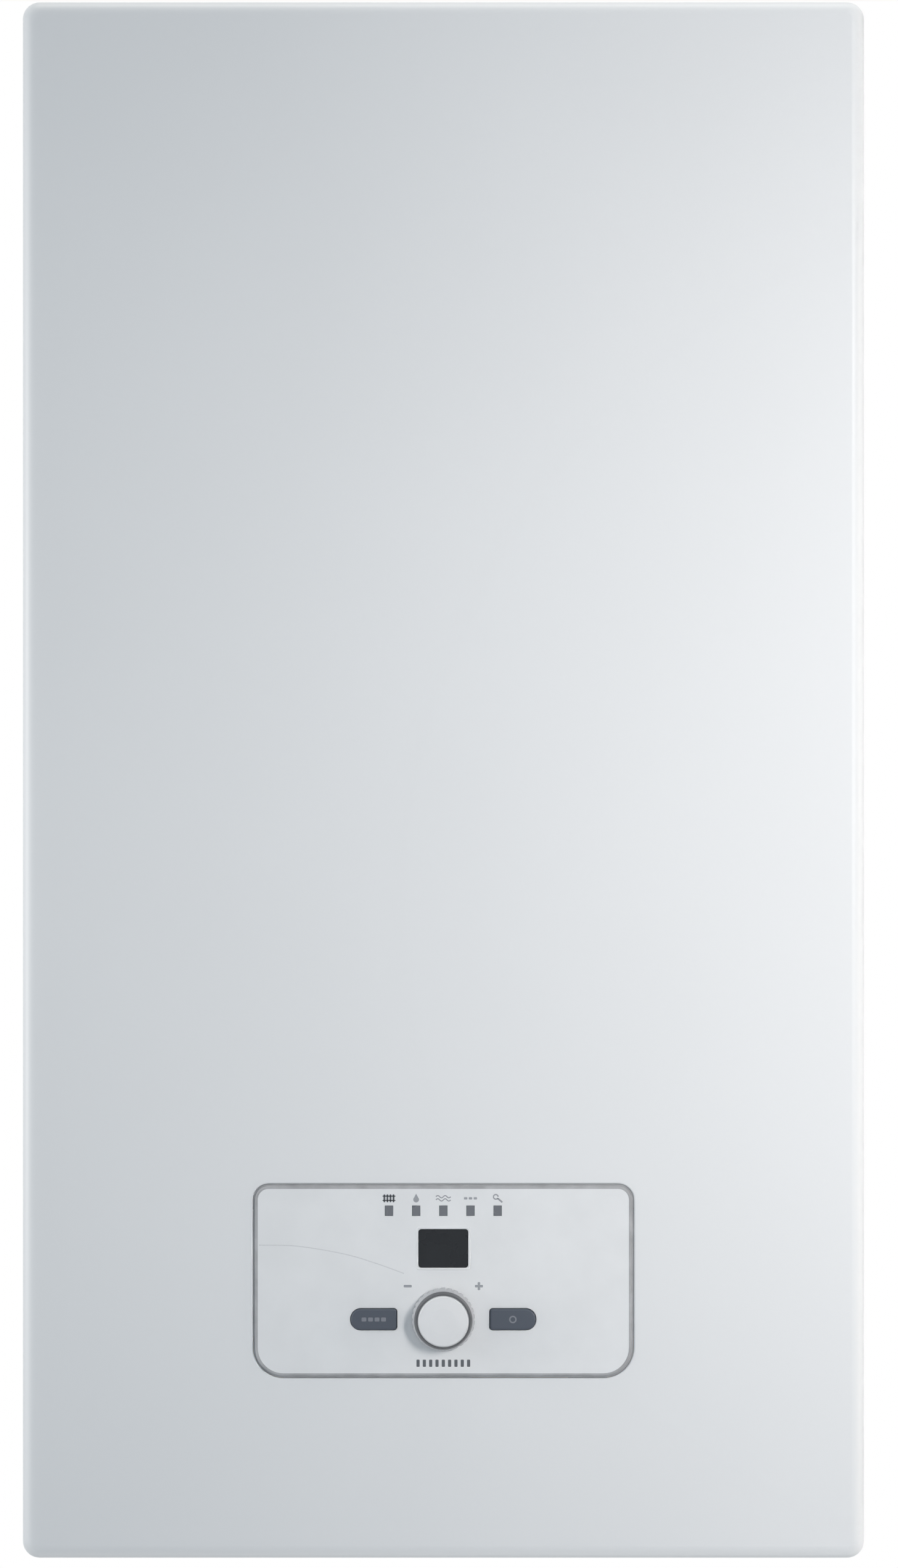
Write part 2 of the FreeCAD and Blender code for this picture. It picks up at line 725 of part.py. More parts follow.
# Control unit planes
fascia_front = front - size.panel_proud
fascia_back = fascia_front + size.fascia_wall
skirt_rim = fascia_front + size.fascia_depth
board_face = skirt_rim + size.board_seat
board_back = board_face + size.board_sheet
housing_back = skirt_rim + size.housing_depth
window_low = floor + size.panel_rise
key_z = window_low + size.key_rise
display_z = window_low + size.display_rise
lamp_z = window_low + size.lamp_rise
fascia_width = size.panel_width - size.panel_gap * 2
fascia_height = size.panel_height - size.panel_gap * 2
housing_width = fascia_width - size.housing_inset * 2
housing_height = fascia_height - size.housing_inset * 2
board_half = housing_width / 2 - size.board_margin
board_half_high = housing_height / 2 - size.board_margin
knob_back = fascia_front - size.knob_gap
bore_radius = size.shaft_radius + size.shaft_play
boss_spots = [
    (x * (board_half - size.boss_inset), window_z + z * (board_half_high - size.boss_inset))
    for x in (-1, 1)
    for z in (-1, 1)
]
lamp_spots = [size.lamp_pitch * (k - (LAMPS - 1) / 2) for k in range(LAMPS)]


def circle(sketch, x, radius):
    """Circle on a sketch's own X axis."""
    sketch.addGeometry(Part.Circle(V(x.value, 0, 0), V(0, 0, 1), radius.value))
    row = sketch.addConstraint(Sketcher.Constraint("DistanceX", -1, 1, 0, 3, x.value))
    sketch.setExpression(f"Constraints[{row}]", x.formula)
    sketch.addConstraint(Sketcher.Constraint("DistanceY", -1, 1, 0, 3, 0.0))
    row = sketch.addConstraint(Sketcher.Constraint("Radius", 0, radius.value))
    sketch.setExpression(f"Constraints[{row}]", radius.formula)


def button_plate(side, grow, y):
    """Bullet-shaped plate of a button: its outer end is rounder than its inner end."""
    outer = size.button_round + grow
    inner = size.button_inner_round + grow
    radii = [inner, outer, outer, inner] if side > 0 else [outer, inner, inner, outer]
    middle = (side * size.button_reach, key_z)
    return rounded_plate(middle, size.button_length + grow * 2, size.button_height + grow * 2, y, radii)


def centred(middle, width):
    """Pair of limits round a middle."""
    return (middle - width / 2, middle + width / 2)


def control_fascia():
    """Front moulding with its skirt, windows, button holes and bosses."""
    corner = [size.panel_low_round - size.panel_gap] * 2 + [size.panel_top_round - size.panel_gap] * 2
    shell = rounded_plate((0, window_z), fascia_width, fascia_height, (fascia_front, skirt_rim), corner)
    hollow(shell, size.fascia_wall, lambda box: box.YMin > SAME and box.YLength < SAME)
    round_edges(shell, size.rim_round, lambda box: box.YMax < SAME)
    through = (fascia_front - size.skin, fascia_back + size.skin)
    depth = through[1] - through[0]
    holes = [
        rounded_plate(
            (0, display_z), size.display_width, size.display_height, through, [size.display_round] * 4
        ),
        rod((0, through[0], key_z), "+y", size.bush_radius + size.button_play, depth),
    ]
    for x in lamp_spots:
        holes.append(block(centred(x, size.lamp_width), through, centred(lamp_z, size.lamp_height)))
    for side in (-1, 1):
        holes.append(button_plate(side, size.button_play, through))
    bosses = [
        rod((x, fascia_back, z), "+y", size.boss_radius, board_face - fascia_back) for x, z in boss_spots
    ]
    part("control_fascia", fuse(cut(shell, *holes), *bosses))


def control_housing():
    """Rear box of the control unit with the bosses that hold the board."""
    corner = [size.panel_low_round - size.panel_gap - size.housing_inset] * 2
    corner += [size.panel_top_round - size.panel_gap - size.housing_inset] * 2
    box = rounded_plate((0, window_z), housing_width, housing_height, (skirt_rim, housing_back), corner)
    hollow(box, size.fascia_wall, lambda limits: limits.YMax < SAME)
    bosses = [
        rod((x, board_back, z), "+y", size.boss_radius, housing_back - size.fascia_wall - board_back)
        for x, z in boss_spots
    ]
    part("control_housing", fuse(box, *bosses))


def control_support():
    """Channel between the side panels that carries the control unit."""
    half = size.rail_height / 2
    outline = [
        (0, -half),
        (0, half),
        (size.rail_flange, half),
        (size.rail_flange, half - size.skin),
        (size.skin, half - size.skin),
        (size.skin, -half + size.skin),
        (size.rail_flange, -half + size.skin),
        (size.rail_flange, -half),
    ]
    rail = extrusion("YZ_Plane", outline, inner_half * 2, at=(-inner_half, housing_back, window_z))
    part("control_support", rail)


def control_electronics():
    """Board with the display, indicator light guides, switches and encoder."""
    board = block(
        (-board_half, board_half),
        (board_face, board_back),
        (window_z - board_half_high, window_z + board_half_high),
    )
    part("control_board", board)
    module_front = fascia_back + size.display_play
    lens_width = size.display_width - size.display_play * 2
    lens_height = size.display_height - size.display_play * 2
    lens_y = (fascia_front + size.display_recess, module_front)
    lens_round = [size.display_round - size.display_play] * 4
    part("display_lens", rounded_plate((0, display_z), lens_width, lens_height, lens_y, lens_round))
    module = block(
        centred(dim(0), size.display_width + size.display_frame * 2),
        (module_front, board_face),
        centred(display_z, size.display_height + size.display_frame * 2),
    )
    part("display_module", module)
    guide_y = (fascia_front + size.lamp_play, board_face)
    lamps = [
        block(
            centred(x, size.lamp_width - size.lamp_play * 2),
            guide_y,
            centred(lamp_z, size.lamp_height - size.lamp_play * 2),
        )
        for x in lamp_spots
    ]
    part("indicator_lenses", group(lamps))
    switch_front = board_face - size.switch_deep
    switches = []
    for side in (-1, 1):
        x = side * size.button_reach
        case = block(
            centred(x, size.switch_side), (switch_front, board_face), centred(key_z, size.switch_side)
        )
        well = rod(
            (x, switch_front - size.skin, key_z), "+y", size.stem_radius + size.button_play, size.switch_deep
        )
        switches.append(cut(case, well))
    part("control_switches", group(switches))
    encoder = block(
        centred(dim(0), size.encoder_body),
        (board_face - size.encoder_deep, board_face),
        centred(key_z, size.encoder_body),
    )
    bush_back = board_face - size.skin
    bush = rod((0, bush_back, key_z), "-y", size.bush_radius, bush_back - fascia_front)
    bore = rod((0, bush_back, key_z), "-y", bore_radius, size.fascia_depth * 2)
    part("rotary_encoder", cut(fuse(encoder, bush), bore))


def knob():
    """Fluted grip, pale cap and the shaft that they turn on."""
    length = size.knob_length
    seat = length - size.knob_face_deep
    seat_radius = size.knob_face + size.display_play
    bore_end = seat - size.fascia_wall
    profile = [
        (size.shaft_radius, 0),
        (size.knob_radius, 0),
        (size.knob_radius, size.skin),
        (size.knob_nose, length),
        (seat_radius, length),
        (seat_radius, seat),
        (0, seat),
        (0, bore_end),
        (size.shaft_radius, bore_end),
    ]
    grip = turned(profile, (0, knob_back, key_z), "-y")
    sketch = new_sketch(grip, "XY_Plane")
    circle(sketch, size.knob_radius + size.flute_radius / 3, size.flute_radius)
    doc.recompute()
    flute = grip.newObject("PartDesign::Pocket", "flute")
    flute.Profile = sketch
    bind(flute, Length=length)
    flute.Reversed = True
    doc.recompute()
    flutes = grip.newObject("PartDesign::PolarPattern", "flutes")
    flutes.Originals = [flute]
    flutes.Axis = (sketch, ["N_Axis"])
    flutes.Angle = 360
    flutes.Occurrences = FLUTES
    grip.Tip = flutes
    part("knob_grip", grip)
    deep = size.knob_face_deep
    cap = [
        (0, 0),
        (size.knob_face, 0),
        (size.knob_face, deep * 3 / 4),
        (size.knob_face - deep / 2, deep * 5 / 4),
        (size.knob_face / 2, deep * 3 / 2),
        (0, deep * 3 / 2),
    ]
    part("knob_cap", turned(cap, (0, knob_back - seat, key_z), "-y"))
    start = board_face - size.skin - size.button_play
    part("encoder_shaft", rod((0, start, key_z), "-y", size.shaft_radius, start - knob_back + bore_end))


def button(label, side):
    """Button head with its retaining lip and switch stem."""
    lip_front = fascia_back + size.button_play
    lip_back = lip_front + size.button_lip
    head = button_plate(side, dim(0), (fascia_front - size.button_proud, lip_front))
    round_edges(head, size.rim_round, lambda box: box.YMax < SAME)
    lip = button_plate(side, size.button_lip, (lip_front, lip_back))
    stem_end = board_face - size.switch_deep + size.button_travel
    stem = rod((side * size.button_reach, lip_back, key_z), "+y", size.stem_radius, stem_end - lip_back)
    part(label, fuse(head, lip, stem))


# Water circuit: upright axis of the vessel, pump and return, with heights from the bottom up
vessel_x = -inner_half + size.side_room + size.jacket + size.vessel_radius
vessel_y = front + size.front_room + size.jacket + size.vessel_radius
stub_end = floor + size.stub_rise
stub_high = bay_top - size.skin - size.hole_play
manifold_low = bay_top + size.manifold_lift
manifold_top = manifold_low + size.manifold_height
manifold_mid = manifold_low + size.manifold_height / 2
suction_z = manifold_top + size.spigot
pump_z = suction_z + size.spigot + size.volute_radius
discharge_z = pump_z + size.volute_radius + size.spigot
vessel_low = discharge_z + size.vessel_nozzle
vessel_top = top - size.head_room
vessel_height = vessel_top - vessel_low
cap_low = vessel_top + size.gasket_sheet
cap_top = cap_low + size.flange_sheet
nozzle_z = vessel_top - size.nozzle_drop
nozzle_end = vessel_x + size.vessel_radius + size.jacket + size.nozzle_reach
flow_x = nozzle_end + size.spigot + size.pipe_bend
relief_to_drain = size.relief_body + size.small_bend + size.branch_reach * 2
relief_x = flow_x + (inner_half - flow_x - relief_to_drain) * RELIEF_SHARE
drain_x = relief_x + relief_to_drain
motor_x = vessel_x + size.volute_width / 2
bolt_angles = [math.tau * (k + 0.5) / FLANGE_BOLTS for k in range(FLANGE_BOLTS)]
bolt_spots = [
    (vessel_x + size.flange_circle * math.cos(angle), vessel_y + size.flange_circle * math.sin(angle))
    for angle in bolt_angles
]
sensor_spot = (vessel_x, vessel_y + size.element_circle)


def element_legs(k):
    """Two leg positions of one heating element loop."""
    angle = math.tau * (k / ELEMENTS + 1 / 12)
    x = vessel_x + size.element_circle * math.cos(angle)
    y = vessel_y + size.element_circle * math.sin(angle)
    across = (-math.sin(angle), math.cos(angle))
    return [
        (x + size.element_bend * across[0] * side, y + size.element_bend * across[1] * side)
        for side in (-1, 1)
    ]


def upright_holes(spots, radius, z):
    """Upright cutting bars at spots."""
    return [rod((x, y, z[0]), "+z", radius, z[1] - z[0]) for x, y in spots]


def boiler_vessel():
    """Welded vessel: bottom nozzle, flange ring and side outlet."""
    inside = size.vessel_radius - size.vessel_wall
    low = -size.vessel_nozzle
    profile = [
        (size.port_bore, low),
        (size.port_radius, low),
        (size.port_radius, low + size.spigot),
        (size.pipe_radius, low + size.spigot),
        (size.pipe_radius, 0),
        (size.vessel_radius, 0),
        (size.vessel_radius, vessel_height - size.flange_sheet),
        (size.flange_radius, vessel_height - size.flange_sheet),
        (size.flange_radius, vessel_height),
        (inside, vessel_height),
        (inside, size.vessel_wall),
        (size.port_bore, size.vessel_wall),
    ]
    shell = turned(profile, (vessel_x, vessel_y, vessel_low))
    start = vessel_x + size.vessel_radius - size.vessel_wall / 2
    outlet = rod((start, vessel_y, nozzle_z), "+x", size.pipe_radius, nozzle_end - start)
    collar = rod((nozzle_end, vessel_y, nozzle_z), "-x", size.port_radius, size.spigot)
    bore_start = start - size.vessel_wall * 2
    bore = rod((bore_start, vessel_y, nozzle_z), "+x", size.port_bore, nozzle_end - bore_start + size.skin)
    flange_z = (vessel_top - size.flange_sheet * 2, vessel_top + size.skin)
    holes = upright_holes(bolt_spots, size.bolt_radius + size.screw_play, flange_z)
    part("boiler_vessel", cut(fuse(shell, outlet, collar), bore, *holes))


def jackets():
    """Insulation in two half shells round the vessel."""
    low = vessel_low + size.jacket_gap
    high = vessel_top - size.flange_sheet * 2 - size.nut_high
    inner = size.vessel_radius + size.jacket_gap
    outer = size.vessel_radius + size.jacket
    ring = [(inner, 0), (outer, 0), (outer, high - low), (inner, high - low)]
    outlet = rod((vessel_x, vessel_y, nozzle_z), "+x", size.pipe_radius + size.hole_play, outer * 2)
    for label, side in (("jacket_front", 1), ("jacket_rear", -1)):
        split = vessel_y - side * size.jacket_gap / 2
        far = vessel_y + side * outer * 2
        y = (split, far) if side > 0 else (far, split)
        other_half = block((vessel_x - outer * 2, vessel_x + outer * 2), y, (low - outer, high + outer))
        part(label, cut(turned(ring, (vessel_x, vessel_y, low)), other_half, outlet))


def tank_shelf():
    """Bracket on the left panel under the vessel."""
    reach = size.vessel_radius + size.shelf_past
    y = centred(vessel_y, reach * 2)
    plate = block((-inner_half, vessel_x + reach), y, (vessel_low - size.shelf_sheet, vessel_low))
    leg = block((-inner_half, -inner_half + size.shelf_sheet), y, (vessel_low - size.shelf_drop, vessel_low))
    through = (vessel_low - size.shelf_drop, vessel_low + size.skin)
    hole = upright_holes([(vessel_x, vessel_y)], size.port_radius + size.hole_play, through)
    part("tank_shelf", cut(fuse(plate, leg), *hole))


def element_assembly():
    """Flange with gasket, bolts, heating loops and temperature sensor."""
    bolt_hole = size.bolt_radius + size.screw_play
    axis = (vessel_x, vessel_y)
    gasket = rod((*axis, vessel_top), "+z", size.flange_radius, size.gasket_sheet)
    opening = rod(
        (*axis, vessel_top - size.skin), "+z", size.vessel_radius - size.vessel_wall, size.gasket_sheet * 3
    )
    gasket_z = (vessel_top - size.skin, cap_low + size.skin)
    part("flange_gasket", cut(gasket, opening, *upright_holes(bolt_spots, bolt_hole, gasket_z)))

    cap_z = (cap_low - size.skin, cap_top + size.skin)
    disc = rod((*axis, cap_low), "+z", size.flange_radius, size.flange_sheet)
    holes = upright_holes(bolt_spots, bolt_hole, cap_z)
    for k in range(ELEMENTS):
        holes += upright_holes(element_legs(k), size.element_radius + size.screw_play, cap_z)
    holes += upright_holes([sensor_spot], size.sensor_radius + size.screw_play, cap_z)
    holes += upright_holes([axis], size.vent_spigot + size.screw_play, cap_z)
    part("element_flange", cut(disc, *holes))

    fasteners = []
    nut_low = vessel_top - size.flange_sheet - size.nut_high
    shank_low = nut_low - size.skin
    for x, y in bolt_spots:
        head = hexagon((x, y, cap_top), "+z", size.bolt_flats, size.bolt_head)
        shank = rod((x, y, shank_low), "+z", size.bolt_radius, cap_top - shank_low)
        nut = hexagon((x, y, nut_low), "+z", size.bolt_flats, size.nut_high)
        bore = rod((x, y, nut_low - size.skin), "+z", size.bolt_radius + size.shaft_play, size.nut_high * 2)
        fasteners += [fuse(head, shank), cut(nut, bore)]
    part("flange_bolts", group(fasteners))

    low = vessel_low + size.element_clear
    high = cap_top + size.terminal_rise
    loops = []
    for k in range(ELEMENTS):
        first, second = element_legs(k)
        points = [(*first, high), (*first, low), (*second, low), (*second, high)]
        loops.append(tube(points, size.element_radius, size.element_bend))
    part("heating_elements", group(loops))

    sensor_low = cap_low - size.sensor_reach
    sensor = rod((*sensor_spot, sensor_low), "+z", size.sensor_radius, cap_top - sensor_low)
    sensor_head = hexagon((*sensor_spot, cap_top), "+z", size.sensor_radius * 4, size.terminal_rise / 2)
    part("temperature_sensor", fuse(sensor, sensor_head))


def air_vent():
    """Automatic air vent on the flange, with its screw cap."""
    height = size.vent_height
    neck = size.vent_cap - size.skin * 3 / 2
    neck_top = height + size.vent_cap
    body = [
        (0, -size.flange_sheet),
        (size.vent_spigot, -size.flange_sheet),
        (size.vent_spigot, 0),
        (size.vent_radius, 0),
        (size.vent_radius, height * 4 / 5),
        (size.vent_spigot, height),
        (neck, height),
        (neck, neck_top),
        (0, neck_top),
    ]
    part("air_vent_body", turned(body, (vessel_x, vessel_y, cap_top)))
    low = height + size.clip_play
    high = neck_top + size.skin * 2
    cap = [
        (neck + size.shaft_play, low),
        (size.vent_cap, low),
        (size.vent_cap, high - size.skin),
        (size.vent_cap - size.skin, high),
        (0, high),
        (0, neck_top + size.clip_play),
        (neck + size.shaft_play, neck_top + size.clip_play),
    ]
    turned_cap = turned(cap, (vessel_x, vessel_y, cap_top))
    across = size.vent_cap * 2
    slot_y = centred(vessel_y, size.skin)
    slot = block(centred(vessel_x, across), slot_y, (cap_top + high - size.skin, cap_top + high + size.skin))
    part("air_vent_cap", cut(turned_cap, slot))


def pump():
    """Circulator: volute, motor with its terminal box, and the turning rotor."""
    left = vessel_x - size.volute_width / 2
    volute = rod((left, vessel_y, pump_z), "+x", size.volute_radius, size.volute_width)
    ports = rod((vessel_x, vessel_y, suction_z), "+z", size.port_radius, discharge_z - suction_z)
    chamber_radius = size.volute_radius - size.volute_wall
    chamber = rod(
        (left + size.volute_wall, vessel_y, pump_z), "+x", chamber_radius, size.volute_width
    )
    bore_low = suction_z - size.skin
    bore = rod((vessel_x, vessel_y, bore_low), "+z", size.port_bore, discharge_z - bore_low + size.skin)
    part("pump_housing", cut(fuse(volute, ports), chamber, bore))

    length = size.motor_length
    wall = size.motor_wall
    bearing = size.axle_radius + size.shaft_play
    cavity = size.core_radius + size.core_gap
    can = [
        (bearing, 0),
        (size.motor_radius, 0),
        (size.motor_radius, length - wall),
        (size.motor_radius - wall, length),
        (0, length),
        (0, length - size.skin),
        (bearing, length - size.skin),
        (bearing, length - wall),
        (cavity, length - wall),
        (cavity, wall),
        (bearing, wall),
    ]
    motor = turned(can, (motor_x, vessel_y, pump_z), "+x")
    box_low = pump_z + size.motor_radius - wall * 2
    box = block(
        (motor_x + wall * 2, motor_x + length - wall * 3),
        centred(vessel_y, size.motor_radius),
        (box_low, box_low + wall * 5),
    )
    cavity_tool = rod((motor_x + wall, vessel_y, pump_z), "+x", cavity, length - wall * 2)
    part("pump_motor", cut(fuse(motor, box), cavity_tool))

    gap = size.core_gap
    shaft_end = length - size.skin * 2
    rotor = [
        (0, -gap - size.impeller_width),
        (size.impeller_radius, -gap - size.impeller_width),
        (size.impeller_radius, -gap),
        (size.axle_radius, -gap),
        (size.axle_radius, wall + gap),
        (size.core_radius, wall + gap),
        (size.core_radius, length - wall - gap),
        (size.axle_radius, length - wall - gap),
        (size.axle_radius, shaft_end),
        (0, shaft_end),
    ]
    part("pump_rotor", turned(rotor, (motor_x, vessel_y, pump_z), "+x"))


def manifold(x_limits, stub_x):
    """Brass block with a connection stub below and a union port above."""
    body = block(x_limits, centred(vessel_y, size.manifold_side), (manifold_low, manifold_top))
    stub = rod((stub_x, vessel_y, stub_end), "+z", size.stub_radius, stub_high - stub_end)
    neck = rod((stub_x, vessel_y, stub_high), "+z", size.port_radius, suction_z - stub_high)
    bore_low = stub_end - size.skin
    bore = rod((stub_x, vessel_y, bore_low), "+z", size.port_bore, suction_z - bore_low + size.skin)
    return [body, stub, neck], [bore]


def return_manifold():
    """Return block with branches to the expansion pipe and the drain cock."""
    solids, bores = manifold(centred(vessel_x, size.manifold_side), vessel_x)
    middle = (vessel_x, vessel_y, manifold_mid)
    reach = size.manifold_side / 2 + size.branch_reach
    for along in ("+y", "-x"):
        solids.append(rod(middle, along, size.branch_radius, reach))
        bores.append(rod(middle, along, size.small_pipe - size.pipe_wall, reach + size.skin))
    part("return_manifold", cut(fuse(*solids), *bores))


def flow_manifold():
    """Flow block that also carries the relief valve."""
    limits = (flow_x - size.manifold_side / 2, relief_x + size.manifold_side / 2)
    solids, bores = manifold(limits, flow_x)
    bores.append(rod((flow_x, vessel_y, manifold_mid), "+x", size.relief_seat, relief_x - flow_x))
    bores.append(rod((relief_x, vessel_y, manifold_mid), "+z", size.relief_seat, size.manifold_height))
    part("flow_manifold", cut(fuse(*solids), *bores))


def flow_pipe():
    """Pipe from the vessel's outlet down to the flow block, with a collar at each end."""
    points = [
        (nozzle_end, vessel_y, nozzle_z),
        (flow_x, vessel_y, nozzle_z),
        (flow_x, vessel_y, suction_z),
    ]
    collars = [
        rod(points[0], "+x", size.port_radius, size.spigot),
        rod(points[2], "+z", size.port_radius, size.spigot),
    ]
    pipe = fuse(tube(points, size.pipe_radius, size.pipe_bend), *collars)
    part("flow_pipe", cut(pipe, tube(points, size.pipe_radius - size.pipe_wall, size.pipe_bend)))


def union_nuts():
    """Hexagonal nuts over the four large joints."""
    back = size.spigot - size.hole_play
    joints = [
        ((vessel_x, vessel_y, suction_z - back), "+z"),
        ((vessel_x, vessel_y, discharge_z - back), "+z"),
        ((flow_x, vessel_y, suction_z - back), "+z"),
        ((nozzle_end - back, vessel_y, nozzle_z), "+x"),
    ]
    nuts = []
    for at, along in joints:
        blank = hexagon(at, along, size.nut_flats, back * 2)
        nuts.append(cut(blank, rod(at, along, size.port_radius + size.nut_play, back * 2)))
    part("union_nuts", group(nuts))


# Expansion vessel fills the depth between the back panel and the jacket
tank_z = floor + size.tank_rise
tank_rear = -size.skin - size.tank_back
tank_fore = vessel_y + size.vessel_radius + size.jacket + size.tank_front
tank_y = (tank_rear + tank_fore) / 2
tank_half = (tank_rear - tank_fore) / 2
rim_radius = inner_half - size.tank_gap
dome_radius = rim_radius - size.tank_rim
rim_half = size.tank_wall * 2
inlet_y = tank_y - tank_half * 2 / 5
inlet_z = tank_z - rim_radius - size.branch_reach * 2


def expansion_vessel():
    """Flat round vessel with a crimped rim and its water inlet below."""
    wall = size.tank_wall
    flat = dome_radius * DOME_FLAT
    shoulder = dome_radius * DOME_SHOULDER
    bend = tank_half * DOME_BEND
    edge = tank_half * DOME_EDGE
    half = [(flat, tank_half), (shoulder, bend), (dome_radius, edge), (dome_radius, rim_half)]
    inside = [(flat, tank_half - wall), (shoulder - wall, bend - wall / 2), (dome_radius - wall, edge)]
    outline = [(0, -tank_half)] + [(r, -h) for r, h in half] + [(rim_radius, -rim_half)]
    outline += [(rim_radius, rim_half)] + half[::-1] + [(0, tank_half)]
    outline += [(0, tank_half - wall)] + inside + [(r, -h) for r, h in inside[::-1]]
    outline += [(0, wall - tank_half)]
    shell = turned(outline, (0, tank_y, tank_z), "+y")
    inlet_top = tank_z - dome_radius + wall * 10
    inlet = rod((0, inlet_y, inlet_z), "+z", size.branch_radius, inlet_top - inlet_z)
    bore_low = inlet_z - size.skin
    bore_high = inlet_top + size.skin
    bore = rod((0, inlet_y, bore_low), "+z", size.small_pipe - size.pipe_wall, bore_high - bore_low)
    part("expansion_vessel", cut(fuse(shell, inlet), bore))


def expansion_clips():
    """Three clips on the back panel round the crimped rim."""
    near = rim_radius + size.clip_play_tank
    far = near + size.clip_sheet
    over = rim_radius - size.tank_rim / 2
    lip_back = tank_y - rim_half - size.clip_play_tank
    lip_front = lip_back - size.clip_sheet
    across = centred(tank_z, size.clip_width)
    low_x = centred(dim(0), size.clip_width)
    clips = []
    for side in (-1, 1):
        leg = (near, far) if side > 0 else (-far, -near)
        lip = (over, far) if side > 0 else (-far, -over)
        leg_block = block(leg, (lip_front, -size.skin), across)
        clips.append(fuse(leg_block, block(lip, (lip_front, lip_back), across)))
    low_leg = block(low_x, (lip_front, -size.skin), (tank_z - far, tank_z - near))
    low_lip = block(low_x, (lip_front, lip_back), (tank_z - far, tank_z - over))
    part("expansion_clips", group(clips + [fuse(low_leg, low_lip)]))


def expansion_pipe():
    """Small pipe from the expansion vessel to the return block."""
    points = [
        (dim(0), inlet_y, inlet_z),
        (dim(0), inlet_y, manifold_mid),
        (vessel_x, inlet_y, manifold_mid),
        (vessel_x, vessel_y + size.manifold_side / 2 + size.branch_reach, manifold_mid),
    ]
    part("expansion_pipe", tube(points, size.small_pipe, size.small_bend))


# Relief valve heights above its seat on the flow block
relief_chamber = size.disc_radius + size.core_gap
stem_hole = size.spindle_radius + size.clip_play
disc_low = size.relief_seat + size.screw_play
chamber_top = size.relief_height - size.relief_seat
bonnet_top = size.relief_height + size.relief_bonnet
cap_bottom = bonnet_top + size.clip_play
stem_top = bonnet_top + size.relief_cap_high / 2
outlet_rise = size.relief_height / 2
outlet_end = relief_x + size.relief_body + size.branch_reach


def relief_valve():
    """Spring-loaded safety valve with a turn-to-test cap and its drain pipe."""
    at = (relief_x, vessel_y, manifold_top)
    bonnet_radius = size.relief_body * 5 / 8
    body = [
        (size.relief_seat, 0),
        (size.relief_body, 0),
        (size.relief_body, size.relief_height),
        (bonnet_radius, size.relief_height),
        (bonnet_radius, bonnet_top),
        (stem_hole, bonnet_top),
        (stem_hole, chamber_top),
        (relief_chamber, chamber_top),
        (relief_chamber, size.relief_seat),
        (size.relief_seat, size.relief_seat),
    ]
    outlet_at = (relief_x, vessel_y, manifold_top + outlet_rise)
    spout = rod(outlet_at, "+x", size.drain_pipe + size.pipe_wall, outlet_end - relief_x)
    room_low = manifold_top + size.relief_seat
    room = rod((*at[:2], room_low), "+z", relief_chamber, chamber_top - size.relief_seat)
    spout_bore = rod(outlet_at, "+x", size.drain_pipe - size.pipe_wall, outlet_end - relief_x + size.skin)
    part("relief_valve_body", cut(fuse(turned(body, at), spout), room, spout_bore))

    disc_sheet = size.relief_seat / 2
    disc = [
        (0, disc_low),
        (size.disc_radius, disc_low),
        (size.disc_radius, disc_low + disc_sheet),
        (size.spindle_radius, disc_low + disc_sheet),
        (size.spindle_radius, stem_top),
        (0, stem_top),
    ]
    part("relief_valve_disc", turned(disc, at))

    cap_top_z = cap_bottom + size.relief_cap_high
    bore_top = stem_top + size.relief_lift + size.clip_play
    cap = [
        (stem_hole, cap_bottom),
        (size.relief_cap, cap_bottom),
        (size.relief_cap, cap_top_z - size.skin * 3),
        (size.relief_cap - size.skin * 3, cap_top_z),
        (0, cap_top_z),
        (0, bore_top),
        (stem_hole, bore_top),
    ]
    grips = []
    grip_circle = size.relief_cap * GRIP_SHARE
    for k in range(CAP_GRIPS):
        angle = math.tau * k / CAP_GRIPS
        x = relief_x + grip_circle * math.cos(angle)
        y = vessel_y + grip_circle * math.sin(angle)
        spot = (x, y, manifold_top + bonnet_top)
        grips.append(rod(spot, "+z", size.relief_cap / 4, size.relief_cap_high * 2))
    part("relief_valve_cap", cut(turned(cap, at), *grips))

    points = [
        (outlet_end, vessel_y, manifold_top + outlet_rise),
        (drain_x, vessel_y, manifold_top + outlet_rise),
        (drain_x, vessel_y, stub_end),
    ]
    bore = tube(points, size.drain_pipe - size.pipe_wall, size.small_bend)
    tail = rod(points[2], "+z", size.drain_pipe + size.pipe_wall, size.tail_length)
    pipe = fuse(tube(points, size.drain_pipe, size.small_bend), tail)
    part("relief_drain_pipe", cut(pipe, bore))


# Drain cock in the connection bay
cock_x = vessel_x - size.drain_reach
cock_z = floor + size.cock_rise
cock_side = size.cock_radius + size.skin * 2


